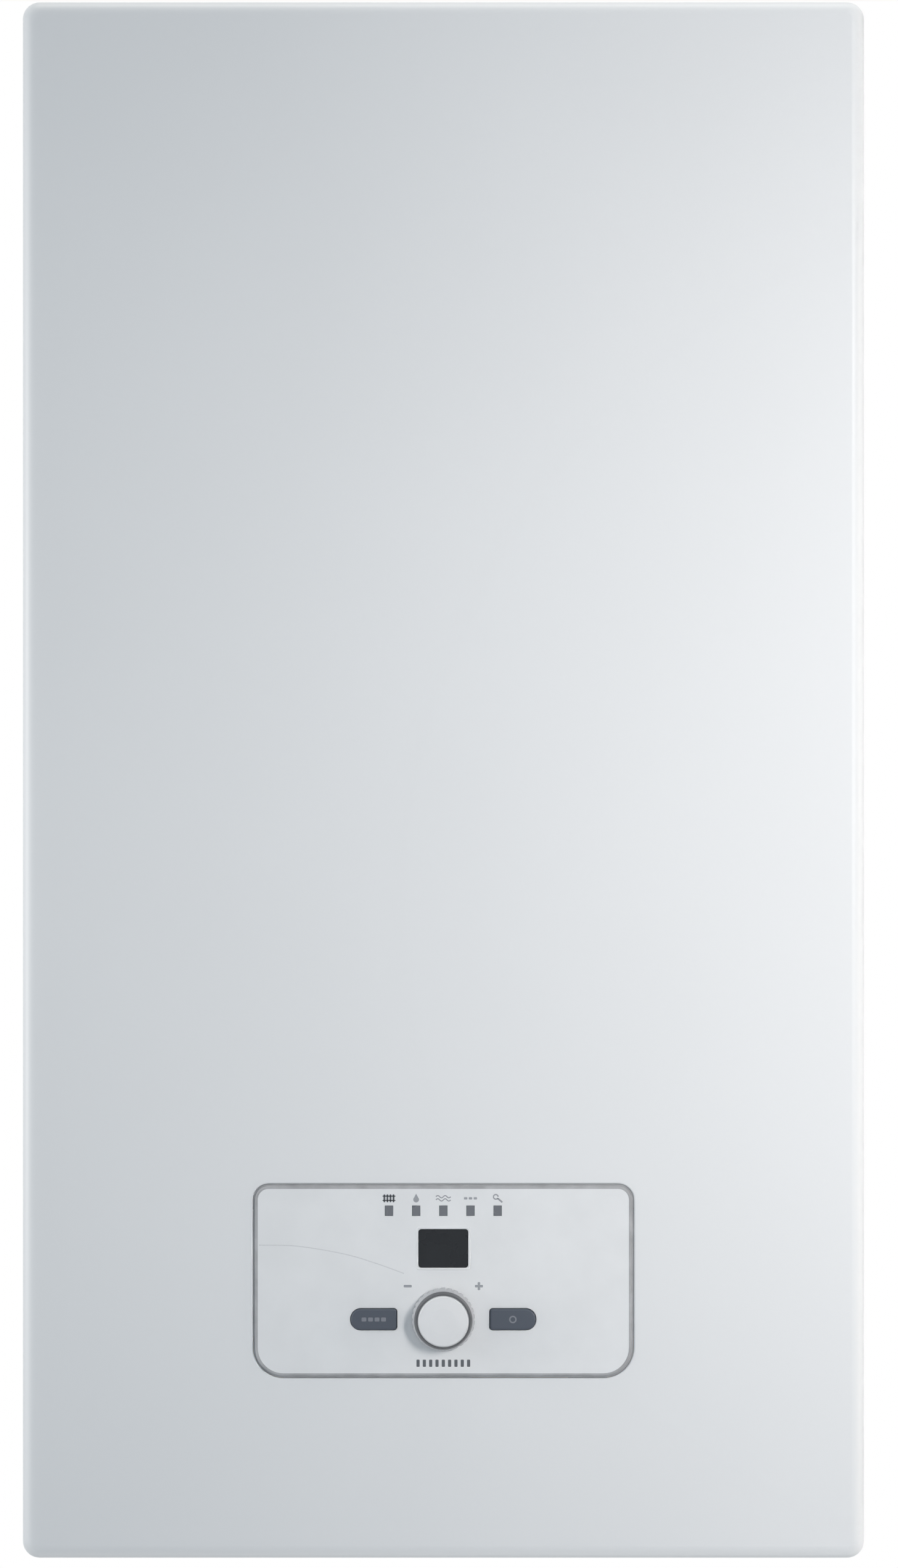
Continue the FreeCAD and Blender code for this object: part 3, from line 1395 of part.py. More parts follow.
def drain_cock():
    """Drain cock with a quarter-turn lever that points left when shut."""
    branch_end = vessel_x - size.manifold_side / 2 - size.branch_reach
    arm = rod((branch_end, vessel_y, manifold_mid), "-x", size.branch_radius, branch_end - cock_x)
    column_low = floor + size.stub_rise * 3
    column_high = manifold_mid + size.cock_radius
    column = rod((cock_x, vessel_y, column_low), "+z", size.cock_radius, column_high - column_low)
    nozzle = rod((cock_x, vessel_y, stub_end), "+z", size.cock_nozzle, cock_z - stub_end)
    seat = rod((cock_x, vessel_y + cock_side, cock_z), "-y", size.cock_radius, cock_side * 2)
    bore = rod((cock_x, vessel_y - cock_side * 2, cock_z), "+y", bore_radius, cock_side * 2)
    drain = rod((cock_x, vessel_y, stub_end - size.skin), "+z", size.spindle_radius, size.cock_rise / 2)
    part("drain_cock_body", cut(fuse(arm, column, nozzle, seat), bore, drain))

    seat_face = vessel_y - cock_side
    inner_end = vessel_y - size.skin
    lever_back = seat_face - size.clip_play
    spindle = rod((cock_x, inner_end, cock_z), "-y", size.spindle_radius, inner_end - lever_back)
    hub = rod((cock_x, lever_back, cock_z), "-y", size.handle_width, size.handle_sheet)
    lever = block(
        (cock_x - size.handle_length, cock_x),
        (lever_back - size.handle_sheet, lever_back),
        centred(cock_z, size.handle_width),
    )
    part("drain_cock_handle", fuse(spindle, hub, lever))


# Electrics on a plate at the right, from its top down
plate_left = flow_x + size.pipe_radius + size.electrics_gap
plate_y = vessel_y + size.electrics_behind
plate_high = top - size.electrics_top
column_x = plate_left + size.electrics_margin
cutout_x = column_x + size.contactor_width / 2
cutout_z = plate_high - size.electrics_margin - size.cutout_radius
contactor_top = cutout_z - size.cutout_radius - size.electrics_margin
contactor_step = size.contactor_height + size.contactor_gap
contactor_tops = [contactor_top - contactor_step * k for k in range(CONTACTORS)]
main_top = contactor_tops[-1] - size.contactor_height - size.electrics_margin
main_low = main_top - size.main_height
main_x = (column_x, inner_half - size.electrics_margin)
main_y = plate_y - size.standoff
terminal_top = main_low - size.electrics_margin
terminal_low = terminal_top - size.terminal_height
plate_low = terminal_low - size.electrics_foot
gland_spots = [
    (inner_half - size.gland_pitch * (k + 0.75), -size.gland_back, thread, bore)
    for k, (thread, bore) in enumerate([
        (size.gland_radius, size.gland_bore),
        (size.small_gland, size.small_gland_bore),
        (size.small_gland, size.small_gland_bore),
    ])
]


def electrics_plate():
    """Component plate flanged to the right panel, with the main board's standoffs."""
    sheet_y = (plate_y, plate_y + size.electrics_sheet)
    plate = block((plate_left, inner_half), sheet_y, (plate_low, plate_high))
    flange = block(
        (inner_half - size.electrics_sheet, inner_half),
        (plate_y, plate_y + size.flange),
        (plate_low, plate_high),
    )
    inset = size.boss_inset
    standoffs = [
        rod((x, plate_y, z), "-y", size.standoff_radius, size.standoff)
        for x in (main_x[0] + inset, main_x[1] - inset)
        for z in (main_low + inset, main_top - inset)
    ]
    part("electrics_plate", fuse(plate, flange, *standoffs))


def power_electrics():
    """Contactors, main board, terminal block and the resettable safety cut-out."""
    x = (column_x, column_x + size.contactor_width)
    neck = size.contactor_height / 5
    depth = size.contactor_depth
    contactors = []
    for high in contactor_tops:
        low = high - size.contactor_height
        base = block(x, (plate_y - depth * 2 / 3, plate_y), (low, high))
        nose = block(x, (plate_y - depth, plate_y), (low + neck, high - neck))
        contactors.append(fuse(base, nose))
    part("contactors", group(contactors))

    part("main_board", block(main_x, (main_y - size.board_sheet, main_y), (main_low, main_top)))

    rail = block(main_x, (plate_y - size.terminal_depth, plate_y), (terminal_low, terminal_top))
    pitch = (main_x[1] - main_x[0]) / POLES
    entries = [
        rod(
            (main_x[0] + pitch * (k + 0.5), plate_y - size.terminal_depth / 2, terminal_low - size.skin),
            "+z",
            size.lead_radius,
            size.terminal_height / 2,
        )
        for k in range(POLES)
    ]
    part("terminal_block", cut(rail, *entries))

    can = rod((cutout_x, plate_y, cutout_z), "-y", size.cutout_radius, size.cutout_depth)
    face = plate_y - size.cutout_depth
    well_depth = size.cutout_depth / 2
    well_back = face + well_depth
    well_radius = size.reset_radius + size.clip_play
    well = rod((cutout_x, well_back, cutout_z), "-y", well_radius, well_depth * 2)
    part("safety_cutout", cut(can, well))
    back = well_back - size.reset_travel - size.clip_play
    reach = back - face + size.reset_proud
    part("cutout_button", rod((cutout_x, back, cutout_z), "-y", size.reset_radius, reach))


def heater_leads():
    """One lead from each heating element to its contactor."""
    start_z = cap_top + size.terminal_rise
    entry_y = plate_y - size.contactor_depth / 2
    level = contactor_tops[0] - size.contactor_height / 2
    leads = []
    for k, high in enumerate(contactor_tops):
        leg = element_legs(k)[0]
        target = high - size.contactor_height / 2
        run_z = level + size.lead_pitch * k
        points = [(*leg, start_z), (*leg, run_z)]
        turn_x = column_x - size.lead_pitch * (k / 2 + 1)
        points.append((turn_x, entry_y, run_z))
        if k:
            points.append((turn_x, entry_y, target))
        points.append((column_x, entry_y, target))
        leads.append(tube(points, size.lead_radius, size.lead_bend))
    part("heater_leads", group(leads))


def cable_glands():
    """One large and two small glands in the bottom panel, each with its locknut."""
    panel = size.skin
    glands = []
    for x, y, thread, bore in gland_spots:
        nut = thread + size.gland_flange
        profile = [
            (bore, -size.gland_length),
            (thread, -size.gland_length),
            (nut, -size.gland_length * 2 / 5),
            (nut, 0),
            (thread, 0),
            (thread, panel),
            (nut, panel),
            (nut, panel + size.gland_inside / 2),
            (thread, panel + size.gland_inside / 2),
            (thread, panel + size.gland_inside),
            (bore, panel + size.gland_inside),
        ]
        glands.append(turned(profile, (x, y, bay_top - panel)))
    part("cable_glands", group(glands))


def build():
    """Make every piece."""
    holes = screw_holes()
    wall_bracket()
    back_panel(holes)
    side_panel("side_panel_left", -1, holes)
    side_panel("side_panel_right", 1, holes)
    top_panel(holes)
    ports = [(x, vessel_y, size.stub_radius + size.hole_play) for x in (vessel_x, flow_x)]
    ports.append((drain_x, vessel_y, size.drain_pipe + size.pipe_wall + size.hole_play / 2))
    ports.append((cock_x, vessel_y, size.cock_radius + size.hole_play / 2))
    ports += [(x, y, thread + size.shaft_play) for x, y, thread, _ in gland_spots]
    bottom_panel(holes, ports)
    front_cover()
    cover_fixings()
    case_screws()
    control_support()
    control_housing()
    control_fascia()
    control_electronics()
    knob()
    button("mode_button", -1)
    button("info_button", 1)
    boiler_vessel()
    jackets()
    tank_shelf()
    element_assembly()
    air_vent()
    pump()
    return_manifold()
    flow_manifold()
    flow_pipe()
    union_nuts()
    expansion_vessel()
    expansion_clips()
    expansion_pipe()
    relief_valve()
    drain_cock()
    electrics_plate()
    power_electrics()
    heater_leads()
    cable_glands()


def check():
    """Stop if a step failed or a piece is not made of sound solids."""
    doc.recompute()
    failed = [item.Name for item in doc.Objects if {"Invalid", "Error"} & set(item.State)]
    for item in PARTS:
        if item.Shape.isNull() or not item.Shape.isValid() or not item.Shape.Solids:
            failed.append(item.Label)
    if failed:
        raise RuntimeError("unsound: " + ", ".join(failed))


def write():
    """Write each piece under its own name."""
    os.makedirs("parts", exist_ok=True)
    for item in PARTS:
        item.Shape.exportStep(os.path.join("parts", f"{item.Label}.step"))
        solids = item.Shape.Solids
        print(f"{item.Label}: {len(solids)} solids, {item.Shape.Volume:.0f} mm3")


build()
check()
write()
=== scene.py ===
"""Looks of the wall-hung electric boiler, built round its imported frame.

Metres, +Z up, the front looks along -Y. Small sizes are written in millimetres and
turned into metres by MM, by mm() or by the helper that says it takes millimetres.
"""
import json
import math

import bmesh
import bpy
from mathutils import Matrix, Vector
from mathutils.geometry import interpolate_bezier


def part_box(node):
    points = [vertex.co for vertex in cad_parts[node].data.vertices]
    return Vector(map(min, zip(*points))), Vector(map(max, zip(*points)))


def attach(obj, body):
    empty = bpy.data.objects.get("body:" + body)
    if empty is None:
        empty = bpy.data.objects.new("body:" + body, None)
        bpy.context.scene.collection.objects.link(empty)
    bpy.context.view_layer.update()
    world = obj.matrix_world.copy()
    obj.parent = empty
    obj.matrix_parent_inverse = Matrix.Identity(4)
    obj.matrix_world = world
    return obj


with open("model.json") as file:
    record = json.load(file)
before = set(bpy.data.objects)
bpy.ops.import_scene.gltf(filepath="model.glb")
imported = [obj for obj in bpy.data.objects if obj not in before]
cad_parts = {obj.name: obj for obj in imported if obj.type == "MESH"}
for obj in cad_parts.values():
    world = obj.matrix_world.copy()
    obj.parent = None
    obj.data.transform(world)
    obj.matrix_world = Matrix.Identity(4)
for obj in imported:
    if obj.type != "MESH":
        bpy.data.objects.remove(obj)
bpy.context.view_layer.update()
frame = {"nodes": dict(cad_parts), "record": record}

MM = 0.001
SCENE = bpy.context.scene

# Directions
UP = (0, 0, 1)
RIGHT = (1, 0, 0)
FORWARD = (0, -1, 0)


def middle_of(node):
    """Middle of a CAD node's box."""
    low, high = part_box(node)
    return (low + high) / 2


# Places taken from the frame
COVER_LOW, COVER_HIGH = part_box("front_cover")
FASCIA_LOW, FASCIA_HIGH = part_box("control_fascia")
FRONT_Y = COVER_LOW.y
FASCIA_Y = FASCIA_LOW.y
WINDOW_Z = middle_of("control_fascia").z
KEY_Z = middle_of("knob_grip").z

# Stretch of a factor over which a colour or gloss changes
FACTOR_ENDS = (0.3, 0.7)


# Node material helpers

def shader_of(material):
    """The material's principled shader."""
    return material.node_tree.nodes["Principled BSDF"]


def set_inputs(node, **values):
    """Set input sockets; an underscore stands for a space in a socket's name."""
    for name, value in values.items():
        node.inputs[name.replace("_", " ")].default_value = value


def new_material(name, color, roughness, **values):
    """Principled material whose even values sit on the shader's own sockets."""
    material = bpy.data.materials.new(name)
    material.use_nodes = True
    set_inputs(shader_of(material), Base_Color=(*color, 1.0), Roughness=roughness, **values)
    return material


def add_node(owner, kind, **values):
    """New node of a material or world, with its input sockets set."""
    node = owner.node_tree.nodes.new(kind)
    set_inputs(node, **values)
    return node


def link(owner, start, end):
    """Join an output socket to an input socket."""
    owner.node_tree.links.new(start, end)


def feed(material, socket, output):
    """Join an output socket to one of the shader's own sockets."""
    link(material, output, shader_of(material).inputs[socket])


def mapped_node(material, kind, stretch=(1.0, 1.0, 1.0), **values):
    """New node that reads frame coordinates, stretched for streaks."""
    coords = add_node(material, "ShaderNodeTexCoord")
    mapping = add_node(material, "ShaderNodeMapping", Scale=stretch)
    node = add_node(material, kind, **values)
    link(material, coords.outputs["Object"], mapping.inputs["Vector"])
    link(material, mapping.outputs["Vector"], node.inputs["Vector"])
    return node


def noise(material, scale, detail=3.0, stretch=(1.0, 1.0, 1.0)):
    """Noise factor."""
    return mapped_node(material, "ShaderNodeTexNoise", stretch, Scale=scale, Detail=detail).outputs["Fac"]


def cells(material, scale):
    """Outputs of a cell texture."""
    return mapped_node(material, "ShaderNodeTexVoronoi", Scale=scale).outputs


def ramp(material, factor, low, high):
    """Colours from low to high along a factor."""
    node = add_node(material, "ShaderNodeValToRGB")
    for element, position, color in zip(node.color_ramp.elements, FACTOR_ENDS, (low, high)):
        element.color = (*color, 1.0)
        element.position = position
    link(material, factor, node.inputs["Fac"])
    return node.outputs["Color"]


def map_range(material, factor, start, end, low, high):
    """Numbers from low to high while a factor goes from start to end."""
    node = add_node(material, "ShaderNodeMapRange", From_Min=start, From_Max=end, To_Min=low, To_Max=high)
    link(material, factor, node.inputs["Value"])
    return node.outputs["Result"]


def vary_gloss(material, factor, low, high):
    """Roughness from low to high along a factor."""
    feed(material, "Roughness", map_range(material, factor, *FACTOR_ENDS, low, high))


def bump(material, factor, strength, depth):
    """Surface relief from a factor, its depth in millimetres."""
    node = add_node(material, "ShaderNodeBump", Strength=strength, Distance=depth * MM)
    link(material, factor, node.inputs["Height"])
    feed(material, "Normal", node.outputs["Normal"])


def shade(color, amount):
    """A colour made lighter or darker."""
    return tuple(min(1.0, max(0.0, channel * (1 + amount))) for channel in color)


def vary(material, color, roughness, factor, tone, gloss):
    """Slight change of colour and gloss over a surface."""
    feed(material, "Base Color", ramp(material, factor, shade(color, -tone), shade(color, tone)))
    vary_gloss(material, factor, roughness - gloss, roughness + gloss)


def mottled(name, color, roughness, patches, tone, gloss, **values):
    """Material whose colour and gloss vary in soft patches."""
    material = new_material(name, color, roughness, **values)
    vary(material, color, roughness, noise(material, patches), tone, gloss)
    return material


def grained(material, scale, strength, depth, detail=3.0):
    """The same material with a fine grain in relief."""
    bump(material, noise(material, scale, detail), strength, depth)
    return material


def painted(name, color, roughness, peel=0.05):
    """Powder coat: fine orange peel over a nearly even colour."""
    material = mottled(name, color, roughness, patches=6.0, tone=0.008, gloss=0.03)
    return grained(material, scale=900.0, strength=peel, depth=0.1, detail=2.0)


def moulded(name, color, roughness, grain=0.12, scale=2600.0):
    """Moulded plastic with a fine spark-eroded grain."""
    material = mottled(name, color, roughness, patches=60.0, tone=0.02, gloss=0.05)
    return grained(material, scale, strength=grain, depth=0.05, detail=2.0)


def shade_nosed_moulding(name, nose, foot, shade_end_y, blend):
    """Moulded plastic that changes along Y from a dark nose, painted as the shade at the knob cap's edge,
    to its own colour at its foot.
    """
    material = new_material(name, nose, 0.45)
    place_y = mapped_node(material, "ShaderNodeSeparateXYZ").outputs["Y"]
    share = map_range(material, place_y, shade_end_y - blend / 2, shade_end_y + blend / 2, low=0.0, high=1.0)
    feed(material, "Base Color", ramp(material, share, nose, foot))
    vary_gloss(material, noise(material, 60.0), low=0.4, high=0.5)
    return grained(material, scale=2600.0, strength=0.1, depth=0.05, detail=2.0)


def brushed(name, color, roughness=0.32):
    """Metal with fine drawn lines along Z."""
    material = new_material(name, color, roughness, Metallic=1.0)
    lines = noise(material, 60.0, detail=4.0, stretch=(40.0, 40.0, 1.0))
    vary(material, color, roughness, lines, tone=0.06, gloss=0.08)
    bump(material, lines, strength=0.06, depth=0.02)
    return material


def galvanised(name, color):
    """Zinc-coated sheet with its crystal spangle."""
    material = new_material(name, color, 0.42, Metallic=1.0)
    spangle = cells(material, 130.0)
    feed(material, "Base Color", ramp(material, spangle["Color"], shade(color, -0.06), shade(color, 0.05)))
    vary_gloss(material, spangle["Distance"], low=0.36, high=0.5)
    return grained(material, scale=700.0, strength=0.04, depth=0.05)


def aged_metal(name, color, dull, roughness=0.28, patches=45.0):
    """Copper, brass or zinc with a patchy dull film."""
    material = new_material(name, color, roughness, Metallic=1.0)
    film = noise(material, patches, detail=5.0)
    feed(material, "Base Color", ramp(material, film, dull, color))
    vary_gloss(material, film, low=roughness + 0.2, high=roughness)
    return grained(material, scale=1500.0, strength=0.05, depth=0.04)


def cast(name, color):
    """Sand-cast surface under a thin coat."""
    material = mottled(name, color, 0.62, patches=80.0, tone=0.12, gloss=0.1)
    return grained(material, scale=420.0, strength=0.35, depth=0.25, detail=4.0)


def foam(name, color):
    """Closed-cell foam with its small pores."""
    material = new_material(name, color, 0.9, Sheen_Weight=0.25, Sheen_Roughness=0.5)
    vary(material, color, 0.88, noise(material, 35.0), tone=0.14, gloss=0.05)
    bump(material, cells(material, 420.0)["Distance"], strength=0.5, depth=0.4)
    return material


def circuit(name, color):
    """Solder mask with copper runs showing through."""
    material = new_material(name, color, 0.32, Coat_Weight=0.3)
    tones = {"Color1": 0.25, "Color2": -0.1, "Mortar": 1.2}
    tones = {socket: (*shade(color, amount), 1.0) for socket, amount in tones.items()}
    runs = add_node(material, "ShaderNodeTexBrick", Scale=160.0, Mortar_Size=0.03, **tones)
    turn = mapped_node(material, "ShaderNodeMapping", Rotation=(math.pi / 2, 0.0, 0.0))
    link(material, turn.outputs["Vector"], runs.inputs["Vector"])
    feed(material, "Base Color", runs.outputs["Color"])
    bump(material, runs.outputs["Fac"], strength=0.15, depth=0.05)
    return material


def rubber(name, color, roughness=0.7):
    """Sleeving and gaskets."""
    material = mottled(name, color, roughness, patches=120.0, tone=0.15, gloss=0.08)
    return grained(material, scale=1800.0, strength=0.15, depth=0.05)


def smoked_window(name, color):
    """Dark display window, its gloss slightly uneven."""
    return mottled(name, color, 0.28, patches=90.0, tone=0.05, gloss=0.03, Specular_IOR_Level=0.2)


def printed(name, color):
    """Screen-printed ink, slightly uneven."""
    return mottled(name, color, 0.6, patches=1400.0, tone=0.05, gloss=0.05)


# Finishes, most of them named as the material slots are

# Where the knob grip's painted shade at its nose gives way to its own grey, and how far that change blends
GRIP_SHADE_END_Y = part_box("knob_grip")[0].y + 4.8 * MM
GRIP_SHADE_BLEND = 2.0 * MM
FINISH_ROWS = {
    "casing_white": (painted, (0.80, 0.815, 0.825), 0.42),
    "galvanised": (galvanised, (0.60, 0.62, 0.64)),
    "steel": (brushed, (0.56, 0.57, 0.58)),
    "zinc": (aged_metal, (0.66, 0.67, 0.68), (0.50, 0.51, 0.52), 0.3, 160.0),
    "fascia_plastic": (moulded, (0.80, 0.815, 0.825), 0.46, 0.08),
    "housing_plastic": (moulded, (0.045, 0.047, 0.05), 0.52),
    "button_plastic": (moulded, (0.055, 0.070, 0.096), 0.5, 0.1),
    # Knob grip: its own grey at the foot, with painted shade darkening its nose by the cap
    "grip_plastic": (shade_nosed_moulding, (0.095, 0.1, 0.108), (0.50, 0.51, 0.53), GRIP_SHADE_END_Y, GRIP_SHADE_BLEND),
    "cap_plastic": (moulded, (0.78, 0.79, 0.80), 0.42, 0.08),
    "display_glass": (smoked_window, (0.018, 0.021, 0.025)),
    "lamp_lens": (moulded, (0.15, 0.162, 0.182), 0.3, 0.04),
    "circuit_board": (circuit, (0.02, 0.16, 0.07)),
    "vessel_blue": (painted, (0.05, 0.09, 0.16), 0.45, 0.15),
    "insulation": (foam, (0.075, 0.08, 0.085)),
    "gasket_rubber": (rubber, (0.02, 0.02, 0.021)),
    "copper_sheath": (aged_metal, (0.82, 0.42, 0.26), (0.50, 0.24, 0.15)),
    "brass": (aged_metal, (0.80, 0.60, 0.30), (0.55, 0.40, 0.20), 0.26, 70.0),
    "tank_red": (painted, (0.42, 0.035, 0.03), 0.36, 0.12),
    "pump_iron": (cast, (0.06, 0.065, 0.07)),
    "motor_paint": (painted, (0.03, 0.14, 0.10), 0.4, 0.2),
    "valve_red": (moulded, (0.50, 0.03, 0.025), 0.42),
    "electro_plastic": (moulded, (0.16, 0.165, 0.17), 0.55),
    "gland_plastic": (moulded, (0.22, 0.23, 0.24), 0.5),
    "lead_sleeve": (rubber, (0.55, 0.12, 0.05), 0.55),
    # These are only on added details
    "ink_dark": (printed, (0.10, 0.11, 0.125)),
    "ink_grey": (printed, (0.33, 0.345, 0.37)),
    # Painted shade along a crease of the control panel, drawn like a print
    "ink_faint": (printed, (0.66, 0.675, 0.69)),
    "ink_light": (printed, (0.20, 0.215, 0.245)),
    "ceramic": (moulded, (0.78, 0.76, 0.70), 0.35, 0.2, 900.0),
    "relay_blue": (moulded, (0.03, 0.10, 0.32), 0.4),
    "connector_white": (moulded, (0.72, 0.72, 0.69), 0.5),
    "terminal_green": (moulded, (0.03, 0.26, 0.09), 0.5),
    "wire_blue": (rubber, (0.03, 0.10, 0.42), 0.5),
    "wire_brown": (rubber, (0.16, 0.065, 0.03), 0.5),
    "wire_black": (rubber, (0.018, 0.018, 0.02), 0.55),
    "wire_green": (rubber, (0.14, 0.36, 0.05), 0.5),
    "wire_grey": (rubber, (0.30, 0.31, 0.32), 0.55),
    # Grey of the real seal, also used as painted shade on the control panel's rounded edge
    "seal_grey": (rubber, (0.40, 0.406, 0.418)),
    # Dark colour painted as the shade inside slots and recesses
    "recess": (rubber, (0.03, 0.03, 0.032), 0.6),
}
FINISH = {name: make(name, *values) for name, (make, *values) in FINISH_ROWS.items()}

for row in frame["record"]["subparts"]:
    for part_slot in frame["nodes"][row["node"]].material_slots:
        part_slot.material = FINISH[row["material_slot"]]


# Mesh helpers, all in frame coordinates

SHARP_FROM = math.radians(35)
ROUNDED_FROM = math.radians(40)


def mm(*values):
    """Millimetres as metres."""
    return tuple(value * MM for value in values)


def centred_row(count, pitch):
    """Steps of a row from its middle."""
    return [(k - (count - 1) / 2) * pitch for k in range(count)]


def new_meshes(count):
    """Empty meshes to build in."""
    return [bmesh.new() for _ in range(count)]


def finished_mesh(name, mesh, finish):
    """Mesh data with its normals outward and its finish on."""
    data = bpy.data.meshes.new(name)
    bmesh.ops.recalc_face_normals(mesh, faces=mesh.faces)
    mesh.to_mesh(data)
    mesh.free()
    data.materials.append(finish)
    return data


def piece(name, mesh, slot, finish=None, body="casing", edge=0.0, steps=2):
    """New object that rides on a body; its finish is the slot's own unless another is named.

    Hard edges are rounded by edge, in millimetres.
    """
    data = finished_mesh(name, mesh, FINISH[finish or slot])
    data.shade_smooth()
    data.set_sharp_from_angle(angle=SHARP_FROM)
    item = bpy.data.objects.new(name, data)
    SCENE.collection.objects.link(item)
    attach(item, body)
    if edge:
        rounding = item.modifiers.new("rounding", "BEVEL")
        rounding.width = edge * MM
        rounding.segments = steps
        rounding.limit_method = "ANGLE"
        rounding.angle_limit = ROUNDED_FROM


def bridge(mesh, first, second):
    """Faces between two rings of equal count, or between a ring and a tip."""
    count = max(len(first), len(second))
    first, second = (ring * (count // len(ring)) for ring in (first, second))
    for k in range(count):
        after = (k + 1) % count
        corners = dict.fromkeys((first[k], first[after], second[after], second[k]))
        mesh.faces.new(list(corners))


def add_box(mesh, low, high):
    """Box between two corners."""
    x, y, z = zip(low, high)
    corners = [mesh.verts.new((a, b, c)) for a in x for b in y for c in z]
    for face in ((0, 1, 3, 2), (4, 6, 7, 5), (0, 4, 5, 1), (2, 3, 7, 6), (0, 2, 6, 4), (1, 5, 7, 3)):
        mesh.faces.new([corners[k] for k in face])


def add_block(mesh, spot, low, high):
    """Box round a spot, its two corners given as millimetres from there."""
    add_box(mesh, *([place + step * MM for place, step in zip(spot, corner)] for corner in (low, high)))


def side_of(axis):
    """A direction square to an axis."""
    helper = Vector(UP) if abs(axis.z) < 0.9 else Vector(RIGHT)
    return axis.cross(helper).normalized()


def add_ring(mesh, middle, axis, side, radius, segments):
    """Vertices of a circle round an axis, the first one on the given side."""
    up = axis.cross(side)
    turns = [math.tau * k / segments for k in range(segments)]
    spots = [middle + (side * math.cos(turn) + up * math.sin(turn)) * radius for turn in turns]
    return [mesh.verts.new(spot) for spot in spots]


def add_turned(mesh, profile, origin, axis, segments):
    """Body turned from (radius, height) points in millimetres; ends at radius 0 close it."""
    axis = Vector(axis)
    rings = []
    for radius, height in profile:
        middle = Vector(origin) + axis * (height * MM)
        count = segments if radius else 1
        rings.append(add_ring(mesh, middle, axis, side_of(axis), radius * MM, count))
    for first, second in zip(rings, rings[1:]):
        bridge(mesh, first, second)


def add_hoop(mesh, origin, axis, inner, outer, low, high, segments):
    """Band round an axis between two radii and two heights, in millimetres."""
    profile = [(inner, low), (outer, low), (outer, high), (inner, high), (inner, low)]
    add_turned(mesh, profile, origin, axis, segments)


def add_prism(mesh, outline, y_front, y_back):
    """Upright plate with an outline in X and Z."""
    front = [mesh.verts.new((x, y_front, z)) for x, z in outline]
    back = [mesh.verts.new((x, y_back, z)) for x, z in outline]
    mesh.faces.new(front)
    mesh.faces.new(back[::-1])
    bridge(mesh, back, front)


def add_band(mesh, section):
    """Closed ring whose section runs through outlines of equal count, each at its own Y."""
    rings = [[mesh.verts.new((x, y, z)) for x, z in line] for line, y in section]
    for first, second in zip(rings, rings[1:] + rings[:1]):
        bridge(mesh, first, second)


def add_frame(mesh, outer, inner, y_front, y_back):
    """Upright ring between two outlines of equal count."""
    add_band(mesh, [(outer, y_back), (outer, y_front), (inner, y_front), (inner, y_back)])


def arc_points(x, z, radius, start, end, steps):
    """Points on an arc, angles in degrees."""
    angles = [math.radians(start + (end - start) * k / steps) for k in range(steps + 1)]
    return [(x + radius * math.cos(angle), z + radius * math.sin(angle)) for angle in angles]


def cornered_outline(x, z, width, height, upper, lower, steps):
    """Points round a rectangle with its own radius for the upper and the lower corners."""
    points = []
    for side, up, start in ((1, 1, 0), (-1, 1, 90), (-1, -1, 180), (1, -1, 270)):
        radius = upper if up > 0 else lower
        middle = (x + side * (width / 2 - radius), z + up * (height / 2 - radius))
        points += arc_points(*middle, radius, start, start + 90, steps)
    return points


def rounded_outline(x, z, width, height, radius, steps):
    """Points round a rectangle with equal corners, its sizes in millimetres."""
    return cornered_outline(x, z, *mm(width, height, radius, radius), steps)


def add_stroke(mesh, points, width, y_front, y_back):
    """Flat printed line through (x, z) points."""
    left, right = [], []
    for before, (x, z), after in zip(points[:1] + points, points, points[1:] + points[-1:]):
        run = Vector((after[0] - before[0], after[1] - before[1])).normalized() * (width / 2)
        left.append((x - run.y, z + run.x))
        right.append((x + run.y, z - run.x))
    add_prism(mesh, left + right[::-1], y_front, y_back)


def rounded_path(points, rounding, steps=6):
    """Path whose corners are replaced by short curves."""
    path = [points[0]]
    for before, corner, after in zip(points, points[1:], points[2:]):
        reach = min(rounding, (before - corner).length * 0.45, (after - corner).length * 0.45)
        first = corner + (before - corner).normalized() * reach
        last = corner + (after - corner).normalized() * reach
        handles = (first.lerp(corner, 2 / 3), last.lerp(corner, 2 / 3))
        path += interpolate_bezier(first, *handles, last, steps + 1)
    return path + [points[-1]]


def add_pipe(mesh, points, radius, segments, rounding=0.0):
    """Round sleeve through points, with its corners rounded."""
    path = [Vector(point) for point in points]
    if rounding:
        path = rounded_path(path, rounding)
    rings = []
    side = side_of((path[1] - path[0]).normalized())
    for before, spot, after in zip(path[:1] + path, path, path[1:] + path[-1:]):
        heading = (after - before).normalized()
        side = (side - heading * side.dot(heading)).normalized()
        rings.append(add_ring(mesh, spot, heading, side, radius, segments))
    for first, second in zip(rings, rings[1:]):
        bridge(mesh, first, second)
    mesh.faces.new(rings[0][::-1])
    mesh.faces.new(rings[-1])


# Control panel: printed symbols, a painted crease shade, display border and button marks

PRINT = 0.04 * MM
PRINT_Y = (FASCIA_Y - PRINT, FASCIA_Y)
LAMP_PITCH = 12.9 * MM
ICON_Z = middle_of("indicator_lenses").z + 5.9 * MM
SIGN_X = 16.9 * MM
SIGN_Z = KEY_Z + 15.7 * MM
TICK_Z = KEY_Z - 20.9 * MM


def print_block(mesh, x, z, width, height, radius, steps=2):
    """Printed rounded block on the fascia, its sizes in millimetres."""
    add_prism(mesh, rounded_outline(x, z, width, height, radius, steps), *PRINT_Y)


def print_line(mesh, points, width):
    """Printed line on the fascia, its width in millimetres."""
    add_stroke(mesh, points, width * MM, *PRINT_Y)


def radiator_icon(mesh, x, z):
    """Radiator: upright ribs crossed by two rails."""
    for step in centred_row(4, 1.45 * MM):
        print_block(mesh, x + step, z, width=0.85, height=3.8, radius=0.4, steps=3)
    for rise in mm(-1, 1):
        print_block(mesh, x, z + rise, width=6.2, height=0.5, radius=0.2)


def drop_icon(mesh, x, z):
    """Water drop: a round belly under a tip."""
    belly = arc_points(x, z - 0.6 * MM, 1.35 * MM, start=-220, end=40, steps=20)
    add_prism(mesh, belly + [(x, z + 2.2 * MM)], *PRINT_Y)


